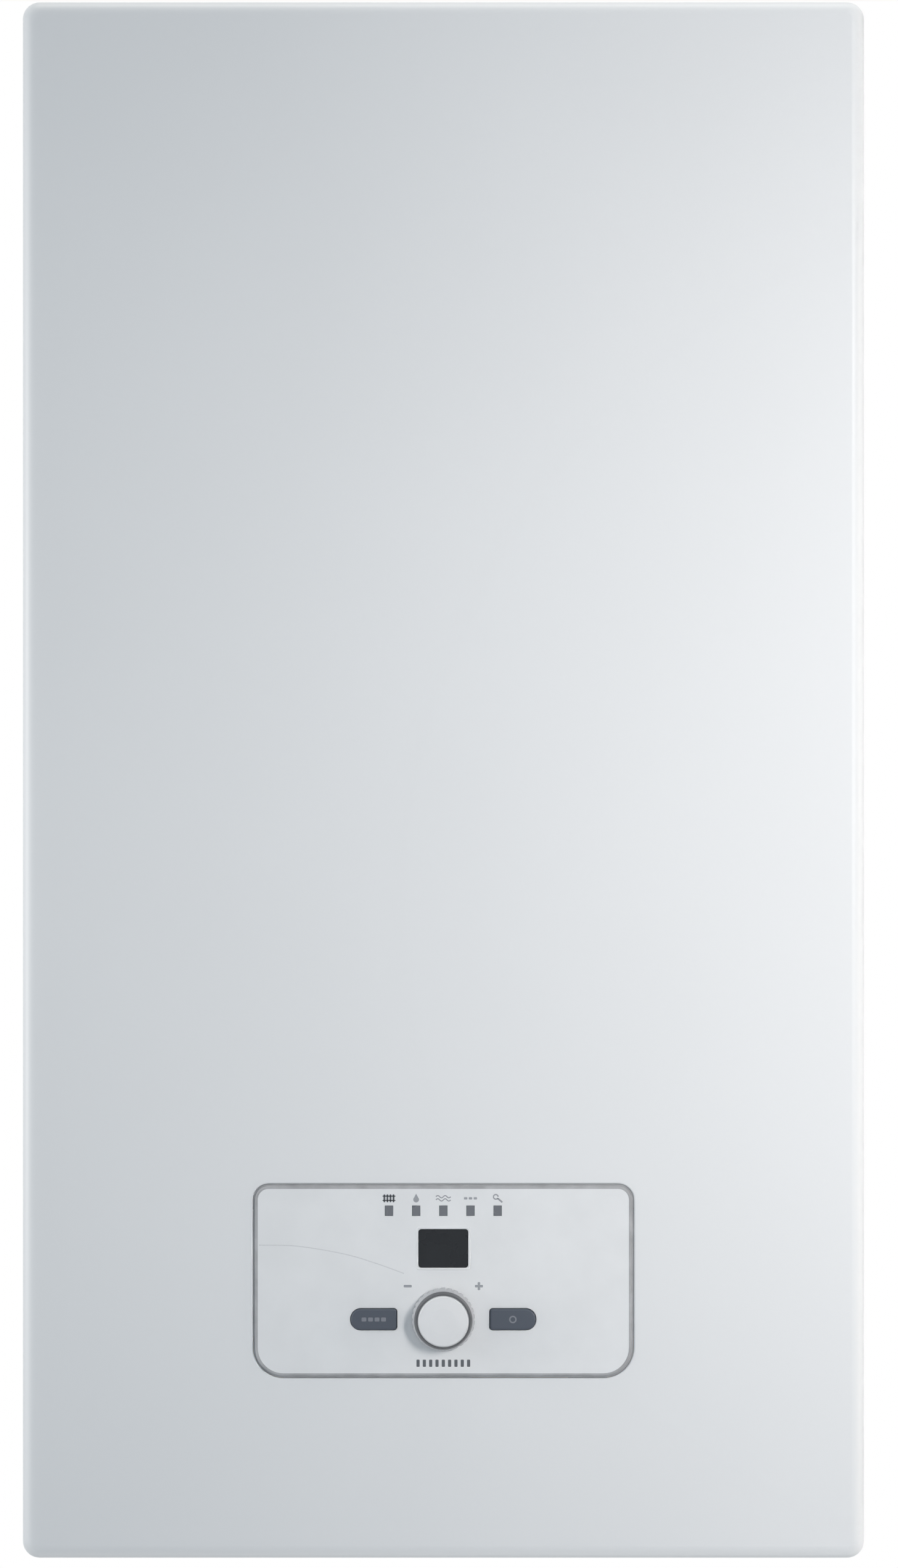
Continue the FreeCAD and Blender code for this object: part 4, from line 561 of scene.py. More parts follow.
def wave_icon(mesh, x, z):
    """Two waves of flowing water."""
    width, height, steps, waves = 7 * MM, 0.55 * MM, 24, 2
    for rise in (-0.75, 0.75):
        line = []
        for k in range(steps + 1):
            swing = height * math.sin(math.tau * waves * k / steps)
            line.append((x + (k / steps - 0.5) * width, z + rise * MM + swing))
        print_line(mesh, line, 0.5)


def dash_icon(mesh, x, z):
    """Row of dashes."""
    for step in centred_row(3, 2.3 * MM):
        print_block(mesh, x + step, z, width=1.6, height=1.1, radius=0.3)


def service_icon(mesh, x, z):
    """Ring with a handle."""
    ring = arc_points(x - 0.9 * MM, z + 0.7 * MM, 1.1 * MM, start=0, end=330, steps=16)
    handle = [(x, z), (x + 2.2 * MM, z - 1.9 * MM)]
    print_line(mesh, ring, width=0.6)
    print_line(mesh, handle, width=0.8)


def control_prints():
    """Symbols over the lamps, minus and plus beside the knob and a row of ticks below it."""
    dark, grey = new_meshes(2)
    icons = (radiator_icon, drop_icon, wave_icon, dash_icon, service_icon)
    for icon, x in zip(icons, centred_row(len(icons), LAMP_PITCH)):
        icon(dark if icon is radiator_icon else grey, x, ICON_Z)
    long, thick, corner = 3.8, 1.2, 0.3
    for x in (-SIGN_X, SIGN_X):
        print_block(grey, x, SIGN_Z, long, thick, corner)
    arm = (long - thick) / 2
    for rise in centred_row(2, (thick + arm) * MM):
        print_block(grey, SIGN_X, SIGN_Z + rise, thick, arm, corner)
    for x in centred_row(9, 3.0 * MM):
        print_block(dark, x, TICK_Z, width=1.5, height=3.4, radius=corner)
    piece("dark_symbols", dark, "fascia_plastic", "ink_dark")
    piece("grey_symbols", grey, "fascia_plastic", "ink_grey")


def panel_crease_shade():
    """Faint curved line over the left half of the panel, smooth through five spots: painted shade along a
    crease in the panel's surface, drawn like a printed line.
    """
    spots = [(-87.5, 149.2), (-69.6, 148.7), (-47.7, 145.1), (-32.2, 140.6), (-16.7, 135.0)]
    spots = [Vector(spot) for spot in spots]
    path = [spots[0] * 2 - spots[1]] + spots + [spots[-1] * 2 - spots[-2]]
    steps = 8
    line = []
    for before, start, end, after in zip(path, path[1:], path[2:], path[3:]):
        handles = (start + (end - before) / 6, end - (after - start) / 6)
        for spot in interpolate_bezier(start, *handles, end, steps + 1)[:steps]:
            line.append((spot.x * MM, COVER_LOW.z + spot.y * MM))
    mesh = bmesh.new()
    print_line(mesh, line, width=0.45)
    piece("panel_crease_shade", mesh, "fascia_plastic", "ink_faint")


def display_border():
    """Soft raised border round the display window."""
    low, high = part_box("display_lens")
    x, _, z = (low + high) / 2
    width, _, height = (high - low) / MM
    outer = rounded_outline(x, z, width + 2.4, height + 2.4, radius=1.4, steps=5)
    inner = rounded_outline(x, z, width + 0.5, height + 0.5, radius=0.6, steps=5)
    mesh = bmesh.new()
    add_frame(mesh, outer, inner, FASCIA_Y - 0.3 * MM, FASCIA_Y + 0.4 * MM)
    piece("display_border", mesh, "fascia_plastic", edge=0.25, steps=3)


def button_marks():
    """Row of blocks on the left button and a ring on the right one."""
    for name in ("mode_button", "info_button"):
        x = middle_of(name).x
        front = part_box(name)[0].y
        faces = (front - PRINT, front)
        mesh = bmesh.new()
        if x < 0:
            for step in centred_row(4, 3.1 * MM):
                add_prism(mesh, rounded_outline(x + step, KEY_Z, 2.3, 1.9, radius=0.4, steps=3), *faces)
        else:
            rings = [rounded_outline(x, KEY_Z, size, size, size / 2, steps=8) for size in (3.6, 2.2)]
            add_frame(mesh, *rings, *faces)
        piece(f"{name}_mark", mesh, "button_plastic", "ink_light", body=name)


control_prints()
panel_crease_shade()
display_border()
button_marks()


# Casing details

SIDE_LOW, SIDE_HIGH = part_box("side_panel_right")
SCREW_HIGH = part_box("case_screws")[1]
SHEET = 1.2 * MM
INNER_HALF = SIDE_HIGH.x - SHEET
FLANGE_WIDTH = 16.0 * MM
FASCIA_UPPER, FASCIA_LOWER = 6.5 * MM, 13.5 * MM

# Axes and heights of the water circuit, taken from the frame
VESSEL_X, VESSEL_Y, _ = middle_of("element_flange")
CAP_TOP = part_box("element_flange")[1].z
FLOW_RADIUS = 13.0 * MM
FLOW_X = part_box("flow_pipe")[1].x - FLOW_RADIUS
NOZZLE_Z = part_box("flow_pipe")[1].z - FLOW_RADIUS
COCK_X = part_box("drain_cock_body")[0].x + 9.0 * MM
RELIEF_X = middle_of("relief_valve_cap").x
SENSOR_X = (FLOW_X + RELIEF_X) / 2
PUMP_Z = middle_of("pump_rotor").z
MANIFOLD_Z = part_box("expansion_pipe")[0].z + 5.0 * MM

# Two legs of each of the three heating elements
ELEMENT_OUT, ELEMENT_HALF = mm(34, 13)
LEG_RADIUS = math.hypot(ELEMENT_OUT, ELEMENT_HALF)
LEG_TURN = math.degrees(math.atan2(ELEMENT_HALF, ELEMENT_OUT))
LEGS = []
for turn in (30, 150, 270):
    LEGS += arc_points(VESSEL_X, VESSEL_Y, LEG_RADIUS, turn - LEG_TURN, turn + LEG_TURN, steps=1)


def panel_outline(grow):
    """Outline of the control panel, made larger or smaller all round."""
    width = FASCIA_HIGH.x - FASCIA_LOW.x + 2 * grow
    height = FASCIA_HIGH.z - FASCIA_LOW.z + 2 * grow
    return cornered_outline(0.0, WINDOW_Z, width, height, FASCIA_UPPER + grow, FASCIA_LOWER + grow, 10)


def fascia_seal():
    """Grey seal in the gap round the control panel, and a grey skin over the panel's rounded edge that
    paints the shade there beside the gap.
    """
    seal, shade_lip = new_meshes(2)
    outlines = [panel_outline(grow * MM) for grow in (0.85, 0.02)]
    add_frame(seal, *outlines, FRONT_Y + 1.1 * MM, FRONT_Y + 6.0 * MM)
    piece("fascia_seal", seal, "gasket_rubber", "seal_grey")
    # The skin's grey is painted shade on the panel's rounded edge; the seal in the gap is a real part.
    edge, skin, flat = mm(0.9, 0.06, 0.4)
    section = []
    for reach in (edge + skin, edge - skin):
        line = [(-edge - flat, FASCIA_Y + edge - reach)]
        line += arc_points(-edge, FASCIA_Y + edge, reach, start=-90, end=0, steps=6)
        layer = [(panel_outline(grow), y) for grow, y in line]
        section += layer[::-1] if section else layer
    add_band(shade_lip, section)
    piece("fascia_edge_shade_lip", shade_lip, "gasket_rubber", "seal_grey")


def screw_recesses():
    """Cross recess in each case screw head: a dark cross a little proud of the head, its colour painted
    shade.
    """
    back_low = COVER_LOW.z + 61.0 * MM
    back_high = SIDE_HIGH.z - FLANGE_WIDTH
    screw_y = -FLANGE_WIDTH / 2
    inset = FLANGE_WIDTH * 4
    spots = [(screw_y, back_low + inset), (screw_y, back_high - inset)]
    for z in (SIDE_HIGH.z - FLANGE_WIDTH / 2, back_low - FLANGE_WIDTH / 2):
        spots += [(SIDE_LOW.y + SHEET + inset, z), (screw_y - inset, z)]
    long, short, deep, proud = 1.7, 0.45, 0.8, 0.03
    mesh = bmesh.new()
    for side in (-1, 1):
        low, high = sorted((-deep * side, proud * side))
        for y, z in spots:
            for wide, tall in ((long, short), (short, long)):
                spot = (side * SCREW_HIGH.x, y, z)
                add_block(mesh, spot, (low, -wide, -tall), (high, wide, tall))
    piece("screw_recesses", mesh, "zinc", "recess")


def cover_strips():
    """Foam strips behind the cover's four edges."""
    width, inset, half = mm(12, 30, 156)
    low, high = COVER_LOW.z + 32 * MM, COVER_HIGH.z - 32 * MM
    front, back = FRONT_Y + 1.25 * MM, FRONT_Y + 5.0 * MM
    mesh = bmesh.new()
    for left in (COVER_LOW.x + inset, COVER_HIGH.x - inset - width):
        add_box(mesh, (left, front, low), (left + width, back, high))
    for z in (high - width, low):
        add_box(mesh, (-half, front, z), (half, back, z + width))
    piece("cover_strips", mesh, "insulation", body="cover", edge=1.2, steps=3)


def panel_beads():
    """Pressed stiffening beads on the inside of the back panel."""
    width, proud = 14, 3.0 * MM
    mesh = bmesh.new()
    for x in (-120, 120):
        for low, high in ((-590, -420), (-80, -40)):
            outline = rounded_outline(*mm(x, (low + high) / 2), width, high - low, width / 2, steps=8)
            add_prism(mesh, outline, -proud, -SHEET)
    piece("panel_beads", mesh, "galvanised", edge=1.0, steps=3)


def pipe_threads():
    """Threads of the two heating connections and rings on the drain's hose tail."""
    threads, barbs = new_meshes(2)
    radius, pitch, crest, low, high = mm(13.0, 1.814, 0.55, 1.5, 24)
    turns, steps_per_turn = (high - low) / pitch, 24
    steps = int(turns * steps_per_turn)
    for node, x in (("return_manifold", VESSEL_X), ("flow_manifold", FLOW_X)):
        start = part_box(node)[0].z + low
        circles = arc_points(x, VESSEL_Y, radius, 0, 360 * turns, steps)
        points = [(*spot, start + (high - low) * k / steps) for k, spot in enumerate(circles)]
        add_pipe(threads, points, crest, segments=6)
    piece("connection_threads", threads, "brass")
    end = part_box("drain_cock_body")[0].z
    barb = [(6.0, 0), (7.0, 0), (7.7, 1.6), (7.0, 1.8), (6.0, 1.8), (6.0, 0)]
    for k in range(3):
        add_turned(barbs, barb, (COCK_X, VESSEL_Y, end + (1.0 + 3.2 * k) * MM), UP, 40)
    piece("drain_barbs", barbs, "brass")


def gland_nuts():
    """Gripping ribs round each cable gland."""
    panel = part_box("cable_glands")[1].z - 9.2 * MM
    row_y, pitch = mm(-90, 40)
    ribs = 18
    rib = [(0, 0), (0.8, 0), (0.8, 7), (0, 7)]
    mesh = bmesh.new()
    for k, radius in enumerate(mm(15.0, 12.0, 12.0)):
        middle = INNER_HALF - pitch * (k + 0.75)
        for x, y in arc_points(middle, row_y, radius, 0, 360, ribs)[:ribs]:
            add_turned(mesh, rib, (x, y, panel - 7.5 * MM), UP, 8)
    piece("gland_ribs", mesh, "gland_plastic")


# Water circuit details

def jacket_straps():
    """Straps with buckles round the insulation, and the cover strips over its seams."""
    low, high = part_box("jacket_front")
    radius = (high.x - low.x) / 2
    buckle_turn = math.radians(25)
    straps, buckles, seams = new_meshes(3)
    for share in (0.1, 0.46, 0.78):
        z = low.z + (high.z - low.z) * share
        add_hoop(straps, (VESSEL_X, VESSEL_Y, z), UP, radius / MM - 0.2, radius / MM + 0.9, 0, 14, 96)
        x, y = VESSEL_X + radius * math.sin(buckle_turn), VESSEL_Y - radius * math.cos(buckle_turn)
        add_block(buckles, (x, y, z), (-9, -3.5, -2), (9, 2, 16))
    piece("jacket_straps", straps, "insulation", "wire_black")
    piece("strap_buckles", buckles, "insulation", "housing_plastic", edge=0.8, steps=3)
    half, clear = mm(12, 16)
    bottom, top = low.z + 2 * MM, high.z - 1 * MM
    runs = ((-1, bottom, top), (1, bottom, NOZZLE_Z - clear), (1, NOZZLE_Z + clear, top))
    for side, start, end in runs:
        x = VESSEL_X + side * radius
        add_box(seams, (x - 0.6 * MM, VESSEL_Y - half, start), (x + 0.5 * MM, VESSEL_Y + half, end))
    piece("jacket_seam", seams, "insulation", "zinc")


def element_terminals():
    """Ceramic collar, washer and nut on every heating element leg."""
    collar = [(4.3, 0), (7.0, 0), (7.0, 4.5), (5.8, 6.5), (4.3, 6.5), (4.3, 0)]
    collars, nuts = new_meshes(2)
    for x, y in LEGS:
        spot = (x, y, CAP_TOP)
        add_turned(collars, collar, spot, UP, 32)
        add_hoop(nuts, spot, UP, 4.3, 6.8, 6.6, 7.4, 32)
        add_hoop(nuts, spot, UP, 4.3, 7.2, 7.5, 11.5, 6)
    piece("element_collars", collars, "copper_sheath", "ceramic")
    piece("element_nuts", nuts, "copper_sheath", "zinc")


def pump_details():
    """Cooling ribs, vent plug, speed dial and box lid of the circulator."""
    low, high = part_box("pump_motor")
    ribs, plug, slot, lid, screws, dial = new_meshes(6)
    spot = (low.x, VESSEL_Y, PUMP_Z)
    radius, width, pitch = 38.0, 2, 8
    for start in range(9, 60, pitch):
        add_hoop(ribs, spot, RIGHT, radius - 0.5, radius + 1.1, start, start + width, 64)
    piece("motor_ribs", ribs, "motor_paint")
    spot = (high.x, VESSEL_Y, PUMP_Z)
    add_turned(plug, [(0, -0.5), (9, -0.5), (9, 2.2), (8.2, 3.0), (0, 3.0)], spot, RIGHT, 48)
    piece("motor_plug", plug, "brass")
    # Dark block a little proud of the plug, painted as the shade in its slot
    add_block(slot, spot, (2, -7, -0.8), (3.04, 7, 0.8))
    piece("motor_plug_slot", slot, "brass", "recess")
    left, right = low.x + 10 * MM, high.x - 15 * MM
    middle, half = (left + right) / 2, (right - left) / 2 / MM + 0.6
    add_block(lid, (middle, VESSEL_Y, high.z), (-half, -19.6, -4), (half, 19.6, 2.5))
    piece("motor_lid", lid, "housing_plastic", edge=1.2, steps=3)
    lid_screw = [(0, 0), (2.4, 0), (2.2, 0.9), (0, 1.2)]
    for x in (left + 4 * MM, right - 4 * MM):
        for side in mm(-15, 15):
            add_turned(screws, lid_screw, (x, VESSEL_Y + side, high.z + 2.4 * MM), UP, 20)
    motor_screw = [(0, 0), (3.4, 0), (3.4, 5), (2.9, 5.6), (0, 5.6)]
    for y, z in arc_points(VESSEL_Y, PUMP_Z, 40 * MM, start=45, end=315, steps=3):
        add_turned(screws, motor_screw, (low.x - 0.3 * MM, y, z), RIGHT, 24)
    piece("pump_screws", screws, "zinc")
    spot = (middle, VESSEL_Y - 19.0 * MM, high.z - 12 * MM)
    add_turned(dial, [(0, 0), (7.5, 0), (7.0, 2.6), (0, 2.8)], spot, FORWARD, 40)
    add_block(dial, spot, (-1, -4.4, -6), (1, -2.4, 6))
    piece("speed_dial", dial, "valve_red", edge=0.4)


def tank_details():
    """Charging valve and weld boss on the expansion vessel."""
    boss, cap = new_meshes(2)
    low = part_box("expansion_vessel")[0]
    spot = (5 * MM, low.y + 0.6 * MM, middle_of("expansion_vessel").z + 72 * MM)
    add_turned(boss, [(0, 0), (9, 0), (7.5, 3), (5.2, 3.4), (5.2, 5), (0, 5)], spot, FORWARD, 36)
    piece("charging_boss", boss, "zinc")
    add_turned(cap, [(0, 5), (4.6, 5), (4.6, 13.5), (4.0, 14.3), (0, 14.3)], spot, FORWARD, 28)
    piece("charging_cap", cap, "housing_plastic")


def pressure_sensor():
    """Pressure sensor screwed into the front of the flow block."""
    spot = (SENSOR_X, VESSEL_Y - 20 * MM, MANIFOLD_Z)
    metal, shell = new_meshes(2)
    add_hoop(metal, spot, FORWARD, 0.5, 11.5, -0.2, 7, 6)
    add_turned(metal, [(0, 7), (8.5, 7), (8.5, 12), (0, 12)], spot, FORWARD, 36)
    piece("pressure_sensor_nut", metal, "brass")
    profile = [(0, 12), (9.5, 12), (9.5, 24), (7, 26), (7, 36), (6, 37), (0, 37)]
    add_turned(shell, profile, spot, FORWARD, 36)
    piece("pressure_sensor_shell", shell, "housing_plastic")


def relief_details():
    """Hexagon of the relief valve and the union nut on its outlet."""
    low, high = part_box("relief_valve_body")
    mesh = bmesh.new()
    add_hoop(mesh, (RELIEF_X, VESSEL_Y, low.z), UP, 15.5, 18.4, 2, 9, 6)
    add_hoop(mesh, (high.x - 7 * MM, VESSEL_Y, low.z + 15 * MM), RIGHT, 8.4, 11.5, 0, 6.5, 6)
    piece("relief_hexagons", mesh, "brass")


# Electrics details

CONTACTOR_LOW, CONTACTOR_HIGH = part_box("contactors")
BOARD_LOW, BOARD_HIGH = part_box("main_board")
TERMINAL_LOW, TERMINAL_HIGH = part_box("terminal_block")
CUTOUT_X, _, CUTOUT_Z = middle_of("safety_cutout")
PLATE_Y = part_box("safety_cutout")[1].y
CONTACTOR_PITCH = 68.0 * MM
CONTACTOR_TOPS = [CONTACTOR_HIGH.z - CONTACTOR_PITCH * k for k in range(3)]
POLE_PITCH = (TERMINAL_HIGH.x - TERMINAL_LOW.x) / 5
POLES = [middle_of("terminal_block").x + step for step in centred_row(5, POLE_PITCH)]


def slotted_screws(heads_name, slots_name, slot, spots, radius, proud):
    """Screw heads that look forward and their slots, dark blocks whose colour is painted shade; radius and
    height in millimetres.
    """
    heads, slots = new_meshes(2)
    head = [(0, -0.5), (radius, -0.5), (radius, proud * 0.7), (radius * 0.85, proud), (0, proud)]
    long, short = radius * 0.8, 0.35
    for spot in spots:
        add_turned(heads, head, spot, FORWARD, 24)
        add_block(slots, spot, (-long, -proud * 1.05, -short), (long, -proud * 0.45, short))
    piece(heads_name, heads, slot)
    piece(slots_name, slots, slot, "recess")


def contactor_details():
    """Terminal screws, front windows and rating fields of the contactors."""
    wells, fields, windows = new_meshes(3)
    middle, front = middle_of("contactors").x, CONTACTOR_LOW.y
    width = CONTACTOR_HIGH.x - CONTACTOR_LOW.x
    half = width / 2 / MM
    deep, height, inset = mm(68, 62, 6.2)
    step_y = PLATE_Y - deep * 2 / 3
    spots = []
    for top in CONTACTOR_TOPS:
        low = top - height
        for z in (top - inset, low + inset):
            spots += [(middle + step, step_y, z) for step in centred_row(3, width / 3)]
        spot = (middle, front, (top + low) / 2)
        add_block(fields, spot, (7 - half, -0.15, 3), (half - 7, 0, 15))
        add_block(windows, spot, (19 - half, -1.2, -12), (half - 19, 0, -4))
        for x in (9 - half, half - 9):
            add_block(wells, spot, (x - 3, -0.8, -15), (x + 3, 0, -3))
    for spot in spots:
        add_hoop(wells, spot, FORWARD, 4.2, 5.4, -0.2, 0.9, 32)
    slotted_screws("contactor_screws", "contactor_slots", "zinc", spots, radius=3.6, proud=1.4)
    piece("contactor_wells", wells, "electro_plastic", edge=0.3)
    piece("contactor_fields", fields, "electro_plastic", "connector_white")
    piece("contactor_windows", windows, "electro_plastic", "relay_blue", edge=0.4)


def on_board(mesh, x, z, width, height, deep):
    """Block on the main board, in millimetres from the board's lower left corner."""
    add_block(mesh, BOARD_LOW, (x, -deep, z), (x + width, 0, z + height))


def board_parts():
    """Transformer, relays, capacitors, chips and connectors of the main board."""
    relays, black, white, green, metal, cans, tops = new_meshes(7)
    for k in range(4):
        on_board(relays, 8 + 23 * k, 92, 19, 15, 15)
    on_board(black, 10, 46, 34, 34, 24)
    on_board(metal, 8, 51, 38, 24, 17)
    for x, z, width, height in ((56, 62, 20, 20), (82, 68, 12, 8), (82, 54, 12, 8), (58, 48, 14, 6)):
        on_board(black, x, z, width, height, 2.2)
    for k in range(7):
        on_board(white, 8 + 13.5 * k, 6, 11, 8, 9)
    for k in range(6):
        on_board(green, 10 + 15 * k, 114, 13, 10, 11)
        on_board(metal, 80 + 2.6 * k, 26, 1.1, 18, 14)
    on_board(metal, 79, 26, 16, 18, 2)
    piece("board_relays", relays, "electro_plastic", "relay_blue", edge=0.5)
    piece("board_chips", black, "housing_plastic", edge=0.4)
    piece("board_plugs", white, "electro_plastic", "connector_white", edge=0.4)
    piece("board_terminals", green, "electro_plastic", "terminal_green", edge=0.4)
    piece("board_sinks", metal, "steel", edge=0.25)
    capacitors = ((16, 32, 6, 20), (32, 32, 6, 20), (46, 30, 4, 13), (58, 30, 4, 13), (68, 34, 3, 9))
    for x, z, radius, deep in capacitors:
        spot = BOARD_LOW + Vector(mm(x, 0, z))
        can = [(0, 0), (radius, 0), (radius, deep), (radius - 0.7, deep + 0.5), (0, deep + 0.3)]
        add_turned(cans, can, spot, FORWARD, 28)
        top = [(0, deep), (radius - 1, deep), (radius - 1, deep + 0.6), (0, deep + 0.6)]
        add_turned(tops, top, spot, FORWARD, 28)
    piece("board_cans", cans, "electro_plastic", "wire_black")
    piece("board_can_tops", tops, "steel")
    inset = 5.0 * MM
    sides = (BOARD_LOW.x + inset, BOARD_HIGH.x - inset)
    spots = [(x, BOARD_LOW.y, z) for x in sides for z in (BOARD_LOW.z + inset, BOARD_HIGH.z - inset)]
    slotted_screws("board_screws", "board_screw_slots", "zinc", spots, radius=2.8, proud=1.6)


def terminal_details():
    """Ribs, screws and coloured tags of the terminal block."""
    front = TERMINAL_LOW.y
    half = 1 * MM
    ribs = bmesh.new()
    for k in range(6):
        x = TERMINAL_LOW.x + POLE_PITCH * k
        x = min(max(x, TERMINAL_LOW.x + half), TERMINAL_HIGH.x - half)
        add_box(ribs, (x - half, front - 5 * MM, TERMINAL_LOW.z), (x + half, front, TERMINAL_HIGH.z))
    tags = {"one": "brown", "two": "black", "three": "grey", "four": "blue", "five": "green"}
    for x, (name, color) in zip(POLES, tags.items()):
        tag = bmesh.new()
        add_block(tag, (x, front, TERMINAL_HIGH.z), (-5, -0.6, -7), (5, 0, -2))
        piece(f"terminal_tag_{name}", tag, "electro_plastic", f"wire_{color}")
    piece("terminal_ribs", ribs, "electro_plastic", edge=0.4)
    spots = [(x, front, TERMINAL_LOW.z + 8 * MM) for x in POLES]
    slotted_screws("terminal_screws", "terminal_slots", "brass", spots, radius=4.4, proud=2.2)


def cutout_details():
    """Fixing strap of the safety cut-out and its two screws."""
    front = PLATE_Y - 1.5 * MM
    outer = rounded_outline(CUTOUT_X, CUTOUT_Z, 44, 17, radius=8, steps=8)
    inner = rounded_outline(CUTOUT_X, CUTOUT_Z, 22.2, 16.9, radius=8, steps=8)
    strap = bmesh.new()
    add_frame(strap, outer, inner, front, PLATE_Y)
    piece("cutout_strap", strap, "galvanised")
    spots = [(CUTOUT_X + step, front, CUTOUT_Z) for step in centred_row(2, 33 * MM)]
    slotted_screws("cutout_screws", "cutout_slots", "zinc", spots, radius=3.0, proud=1.6)


# Wires inside the casing, all in millimetres

WALL = PLATE_Y / MM
AXIS_X, AXIS_Y = VESSEL_X / MM, VESSEL_Y / MM
BOARD_X, BOARD_Y, BOARD_Z = BOARD_LOW / MM
BOARD_TOP = BOARD_HIGH.z / MM
POLE_X = [pole / MM for pole in POLES]
POLE_LOW, POLE_TOP = TERMINAL_LOW.z / MM, TERMINAL_HIGH.z / MM


def wire(name, points, finish, radius, rounding):
    """One insulated wire."""
    mesh = bmesh.new()
    add_pipe(mesh, [mm(*point) for point in points], radius * MM, segments=14, rounding=rounding * MM)
    piece(name, mesh, "lead_sleeve", finish)


def phase_wires():
    """Wires from the terminal block to the contactors."""
    rise, end = POLE_TOP + 4.5, CONTACTOR_HIGH.x / MM
    for k, finish in enumerate(("wire_brown", "wire_black", "wire_grey")):
        x, y, lane = POLE_X[k], WALL - 8 - 5 * k, 191 - 5 * k
        head = CONTACTOR_TOPS[k] / MM - 16
        points = [(x, y, POLE_TOP), (x, y, rise), (lane, y, rise), (lane, y, head), (end, y, head)]
        wire(f"phase_wire_{k}", points, finish, radius=1.9, rounding=4.0)


def neutral_wires():
    """Wires from the heating elements to the terminal block."""
    start = CAP_TOP / MM + 15
    for k, leg in enumerate(LEGS[1::2]):
        x, y = leg[0] / MM, leg[1] / MM
        lane, rise, drop = 52 - 4.2 * k, start + 8 + 4 * k, POLE_LOW - 14 - 4 * k
        pole = POLE_X[3] - 2 + 2 * k
        points = [
            (x, y, start), (x, y, rise), (lane, WALL - 22, rise), (lane, WALL - 22, drop),
            (pole, WALL - 15, drop), (pole, WALL - 15, POLE_LOW + 2),
        ]
        wire(f"neutral_wire_{k}", points, "wire_blue", radius=1.7, rounding=10.0)


def pump_cable():
    """Cable from the pump to the main board."""
    x, _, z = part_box("pump_motor")[1] / MM
    points = [
        (x - 16, AXIS_Y, z - 10), (x + 8, AXIS_Y, z - 10), (14, AXIS_Y + 40, -450),
        (60, WALL - 20, -425), (60, WALL - 26, -372),
        (BOARD_X + 14, WALL - 24, BOARD_Z - 6), (BOARD_X + 14, BOARD_Y - 5, BOARD_Z + 8),
    ]
    wire("pump_cable", points, "wire_grey", radius=3.0, rounding=16.0)


def rise_to_board(x, start_y, start_z):
    """Last run of a wire that comes up from below to a plug of the main board."""
    return [
        (x, start_y, start_z), (x, WALL - 44, -400),
        (x, WALL - 40, BOARD_Z - 4), (x, BOARD_Y - 8, BOARD_Z + 9),
    ]


def panel_wires():
    """Wires from the control panel to the main board."""
    _, y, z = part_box("control_housing")[1] / MM
    for k in range(4):
        x = 60 + 3.2 * k
        points = [(x, y - 8, z - 1), (x, y - 8, z + 12)] + rise_to_board(x + 75, WALL - 62, -440)
        wire(f"panel_wire_{k}", points, "wire_grey", radius=1.5, rounding=14.0)


def sensor_cables():
    """Cables from the temperature and the pressure sensor to the main board."""
    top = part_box("temperature_sensor")[1].z / MM
    points = [
        (AXIS_X, AXIS_Y + 34, top - 1), (AXIS_X, AXIS_Y + 34, top + 14), (20, WALL - 10, top + 14),
        (61, WALL - 12, top - 20), (61, WALL - 12, BOARD_Z + 60), (BOARD_X + 3, WALL - 12, BOARD_Z + 60),
    ]
    wire("sensor_cable", points, "wire_black", radius=1.5, rounding=12.0)
    x, z = SENSOR_X / MM, MANIFOLD_Z / MM
    points = [(x, AXIS_Y - 56, z), (x, AXIS_Y - 64, z + 14)] + rise_to_board(128, WALL - 60, -520)
    wire("pressure_cable", points, "wire_black", radius=1.6, rounding=14.0)


def earth_wire():
    """Wire from the terminal block to the bottom panel."""
    x, lane = POLE_X[4], 186
    points = [
        (x, WALL - 15, POLE_LOW + 2), (x, WALL - 15, POLE_LOW - 26), (lane, WALL - 15, POLE_LOW - 40),
        (lane, WALL - 15, -560), (lane, WALL - 40, -604),
    ]
    wire("earth_wire", points, "wire_green", radius=1.7, rounding=12.0)


def cutout_wires():
    """Wires from the safety cut-out to the main board."""
    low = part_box("safety_cutout")[0].z / MM
    for side, name in ((-1, "left"), (1, "right")):
        start, lane, drop = CUTOUT_X / MM + 4 * side, 140 + 4 * side, low - 5 + 2.5 * side
        points = [
            (start, WALL - 9, low + 1), (start, WALL - 9, drop), (lane, WALL - 9, drop),
            (lane, WALL - 24, drop - 12), (lane, WALL - 24, BOARD_TOP + 8),
            (lane, BOARD_Y - 6, BOARD_TOP - 5),
        ]
        wire(f"cutout_wire_{name}", points, "wire_brown", radius=1.3, rounding=3.5)


fascia_seal()
screw_recesses()
cover_strips()
panel_beads()
pipe_threads()
gland_nuts()
jacket_straps()
element_terminals()
pump_details()
tank_details()
pressure_sensor()
relief_details()
contactor_details()
board_parts()
terminal_details()
cutout_details()
phase_wires()
neutral_wires()
pump_cable()
panel_wires()
sensor_cables()
earth_wire()
cutout_wires()


# Stage, light and camera

# Photo: rows, and metres on the front for each of its pixels
IMAGE_HEIGHT = 2543
PIXEL = 0.2934 * MM

FACE_SPOT = (0.35, FRONT_Y, -0.33)
MIDDLE = (0.0, -0.2, -0.308)


def soft_light(name, place, target, width, height, power, color, beam=180.0):
    """Soft box that the camera doesn't see; a grid narrows its beam."""
    data = bpy.data.lights.new(name, "AREA")
    data.shape = "RECTANGLE"
    data.size = width
    data.size_y = height
    data.energy = power
    data.spread = math.radians(beam)
    data.color = color
    item = bpy.data.objects.new(name, data)
    item.location = place
    item.rotation_euler = (Vector(target) - item.location).to_track_quat("-Z", "Y").to_euler()
    item.visible_camera = False
    SCENE.collection.objects.link(item)


